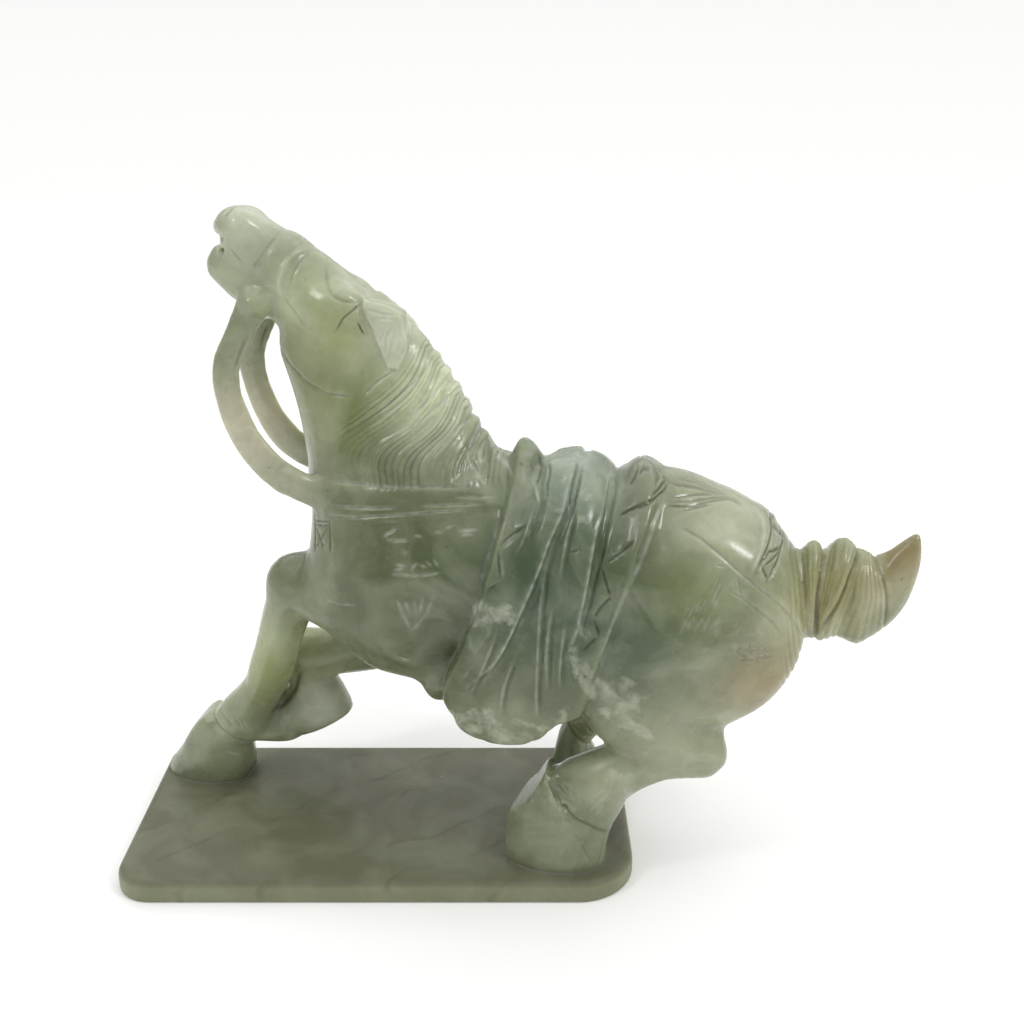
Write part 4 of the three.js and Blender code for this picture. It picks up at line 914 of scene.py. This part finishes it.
def polished_serpentine():
    """Pale green serpentine, ground and polished. The eye gets a waxy gloss over stone that light
    sinks into, cloudy paler patches, ragged milky clouds, and a few black specks and rusty spots."""
    material = bpy.data.materials.new("polished_serpentine")
    material.use_nodes = True
    tree = material.node_tree
    shader = tree.nodes["Principled BSDF"]
    place = add_node(tree, "ShaderNodeTexCoord", "Object", {})
    tint = add_node(tree, "ShaderNodeAttribute", "Color", {}, attribute_name="stone_colour")
    slab, polish_loss_and_highlight, groove_darkening, milky, rusty = [
        add_node(tree, "ShaderNodeAttribute", "Fac", {}, attribute_name=name)
        for name in ("slab", "lost_polish_and_highlight", "groove_darkening", "milky", "rusty")
    ]
    pattern = {}
    for name, (size, detail, roughness, distortion) in PATTERNS.items():
        pattern[name] = add_node(
            tree, "ShaderNodeTexNoise", "Fac",
            {"Vector": place, "Scale": 1 / (size * MM), "Detail": detail, "Roughness": roughness,
             "Distortion": distortion},
        )

    # Pale clouds and dark wisps, weaker in the slab
    calm = add_node(tree, "ShaderNodeMapRange", "Result", {"Value": slab, "To Min": 0.24, "To Max": 0.1})
    cloud = add_node(tree, "ShaderNodeMapRange", "Result",
                     {"Value": pattern["clouds"], "From Min": 0.42, "From Max": 0.68})
    cloud = add_node(tree, "ShaderNodeMath", "Value", {0: cloud, 1: calm}, operation="MULTIPLY")
    wisp = add_node(tree, "ShaderNodeMapRange", "Result",
                    {"Value": pattern["wisps"], "From Min": 0.35, "From Max": 0.75})
    wisp = add_node(tree, "ShaderNodeMath", "Value", {0: wisp, 1: calm}, operation="MULTIPLY")

    # Milky clouds, their edges broken at 1 to 5 mm
    ragged = add_node(tree, "ShaderNodeMath", "Value", {0: pattern["ragged_edges"], 1: milky},
                      operation="ADD")
    ragged = add_node(tree, "ShaderNodeMapRange", "Result",
                      {"Value": ragged, "From Min": 0.7, "From Max": 0.96, "To Max": 0.6})

    # Thin dark veins in the slab, broken along their length
    askew = add_node(tree, "ShaderNodeMapping", "Vector",
                     {"Vector": place, "Rotation": (0, 0, math.radians(VEIN_TURN))})
    vein = add_node(tree, "ShaderNodeTexWave", "Fac",
                    {"Vector": askew, "Scale": WAVE_REPEAT / (VEIN_GAP * MM), "Distortion": 5.0,
                     "Detail": 4, "Detail Scale": 1.6}, bands_direction="Y")
    vein = add_node(tree, "ShaderNodeMapRange", "Result",
                    {"Value": vein, "From Min": 0.05, "From Max": 0, "To Max": 0.25})
    vein = add_node(tree, "ShaderNodeMath", "Value", {0: vein, 1: slab}, operation="MULTIPLY")
    kept = add_node(tree, "ShaderNodeMapRange", "Result",
                    {"Value": pattern["vein_breaks"], "From Min": 0.45, "From Max": 0.62})
    vein = add_node(tree, "ShaderNodeMath", "Value", {0: vein, 1: kept}, operation="MULTIPLY")

    # Rusty spots that soak in from old cracks, and specks under 1 mm
    spots = add_node(tree, "ShaderNodeMath", "Value", {0: pattern["rust"], 1: rusty}, operation="ADD")
    spots = add_node(tree, "ShaderNodeMapRange", "Result",
                     {"Value": spots, "From Min": 0.78, "From Max": 0.92, "To Max": 0.55})
    speck = add_node(tree, "ShaderNodeTexVoronoi", "Distance",
                     {"Vector": place, "Scale": 1 / (SPECK_GAP * MM)})
    speck = add_node(tree, "ShaderNodeMapRange", "Result",
                     {"Value": speck, "From Min": 0.04, "From Max": 0.022, "To Max": 0.7})

    # Paler where the tool has dulled the stone and, on some raised crests, as painted highlight; darker
    # along the grooves
    bruise_and_highlight = add_node(tree, "ShaderNodeMath", "Value", {0: polish_loss_and_highlight, 1: 0.6}, operation="MULTIPLY")
    groove_dark_share = add_node(tree, "ShaderNodeMath", "Value", {0: groove_darkening, 1: 0.8}, operation="MULTIPLY")

    colour = tint
    for code, share in (("#cdd2b8", cloud), ("#4f583c", wisp), ("#c5c9b6", ragged), ("#33331f", vein),
                        ("#5a3c20", spots), ("#2b2a20", speck), ("#d9ddd0", bruise_and_highlight), ("#34321b", groove_dark_share)):
        colour = add_node(tree, "ShaderNodeMix", 2, {0: share, 6: colour, 7: linear(code)},
                          data_type="RGBA")
    tree.links.new(colour, shader.inputs["Base Color"])

    # A polished face, duller along the paler marks of the tool and of the painted highlight, and on the
    # plain ground slab
    rough = add_node(tree, "ShaderNodeMapRange", "Result",
                     {"Value": pattern["gloss"], "From Min": 0.3, "From Max": 0.7, "To Min": 0.2,
                      "To Max": 0.34})
    for worn, share in ((polish_loss_and_highlight, 0.2), (slab, 0.3)):
        rough = add_node(tree, "ShaderNodeMath", "Value", {0: worn, 1: share, 2: rough},
                         operation="MULTIPLY_ADD")
    tree.links.new(rough, shader.inputs["Roughness"])

    # Hand polishing leaves shallow dimples and a fine grain.
    bump = add_node(tree, "ShaderNodeBump", "Normal",
                    {"Height": pattern["dimples"], "Strength": 0.35, "Distance": 0.25 * MM})
    bump = add_node(tree, "ShaderNodeBump", "Normal",
                    {"Height": pattern["grain"], "Normal": bump, "Strength": 0.12, "Distance": 0.1 * MM})
    tree.links.new(bump, shader.inputs["Normal"])

    shader.inputs["IOR"].default_value = 1.56
    shader.inputs["Specular IOR Level"].default_value = 0.38
    shader.inputs["Subsurface Weight"].default_value = 0.8
    shader.inputs["Subsurface Radius"].default_value = (1.0, 1.1, 0.75)
    shader.inputs["Subsurface Scale"].default_value = 3.5 * MM
    shader.inputs["Coat Weight"].default_value = 0.1
    shader.inputs["Coat Roughness"].default_value = 0.08
    return material


def studio_floor():
    """A wide sweep of matt white paper: flat under the figure and rising gently far behind it. With no
    gloss it takes a soft shadow and gives pale light back to the stone from below."""
    bpy.ops.object.select_all(action="DESELECT")
    bpy.ops.mesh.primitive_plane_add(size=1)
    floor = bpy.context.active_object
    floor.name = "studio_floor"
    floor.scale = (FLOOR_WIDTH, FLOOR_BACK - FLOOR_FRONT, 1)
    floor.location = (0, (FLOOR_BACK + FLOOR_FRONT) / 2, 0)
    bpy.ops.object.transform_apply(location=True, scale=True)
    points = floor.data.vertices
    back = FLOOR_BACK - 0.01
    select_parts(floor, "EDGE", lambda edge: all(points[i].co.y > back for i in edge.vertices))
    for step in range(ARC_STEPS):
        a, b = math.radians(ARC_STEP * step), math.radians(ARC_STEP * (step + 1))
        run = FLOOR_ARC * (math.sin(b) - math.sin(a))
        rise = FLOOR_ARC * (math.cos(a) - math.cos(b))
        bpy.ops.mesh.extrude_edges_move(TRANSFORM_OT_translate={"value": (0, run, rise)})
    bpy.ops.object.mode_set(mode="OBJECT")
    select_only(floor)
    bpy.ops.object.shade_smooth()
    paper = bpy.data.materials.new("matt_white_paper")
    paper.use_nodes = True
    shader = paper.node_tree.nodes["Principled BSDF"]
    shader.inputs["Base Color"].default_value = linear("#fafaf9")
    shader.inputs["Roughness"].default_value = 0.9
    floor.data.materials.append(paper)


def area_light(name, at, aim, size, power):
    """A white soft box of a size in metres and a power in watts, turned to face a place."""
    data = bpy.data.lights.new(name, "AREA")
    data.shape = "RECTANGLE"
    data.size, data.size_y = size
    data.energy = power
    light = bpy.data.objects.new(name, data)
    bpy.context.scene.collection.objects.link(light)
    light.location = at
    away = np.array(at) - np.array(aim)
    flat = math.hypot(away[0], away[1])
    light.rotation_euler = (math.atan2(flat, away[2]), 0, math.atan2(away[0], -away[1]))


def studio():
    studio_floor()
    sun = bpy.data.lights.new("ceiling_diffuser", "SUN")
    sun.energy = DIFFUSER_POWER
    sun.angle = math.radians(DIFFUSER_SPREAD)
    ceiling = bpy.data.objects.new("ceiling_diffuser", sun)
    bpy.context.scene.collection.objects.link(ceiling)
    ceiling.rotation_euler = (*map(math.radians, DIFFUSER_TILT), 0)
    area_light("left_strip", (-0.45, -0.35, 0.62), (0, 0, 0.13), (0.08, 0.2), 0.85)
    area_light("right_strip", (0.5, -0.3, 0.6), (0.08, 0, 0.1), (0.08, 0.2), 1.3)
    world = bpy.data.worlds.new("white_room")
    world.use_nodes = True
    world.node_tree.nodes["Background"].inputs["Color"].default_value = linear("#ffffff")
    world.node_tree.nodes["Background"].inputs["Strength"].default_value = ROOM_POWER
    bpy.context.scene.world = world
    bpy.context.scene.view_settings.view_transform = "Standard"
    data = bpy.data.cameras.new("camera")
    data.lens = CAMERA_LENS
    data.sensor_width = 36
    camera = bpy.data.objects.new("camera", data)
    bpy.context.scene.collection.objects.link(camera)
    camera.location = CAMERA_AT
    camera.rotation_euler = (math.radians(90 - CAMERA_PITCH), 0, 0)
    bpy.context.scene.camera = camera


studio()
horse = rough_horse()
slab = rough_slab()
select_only(horse, slab)
bpy.ops.object.join()
figure = smooth_form(horse)
paint_stone(figure)
figure.data.materials.clear()
figure.data.materials.append(polished_serpentine())
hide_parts("tang_horse")
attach(figure, "root")
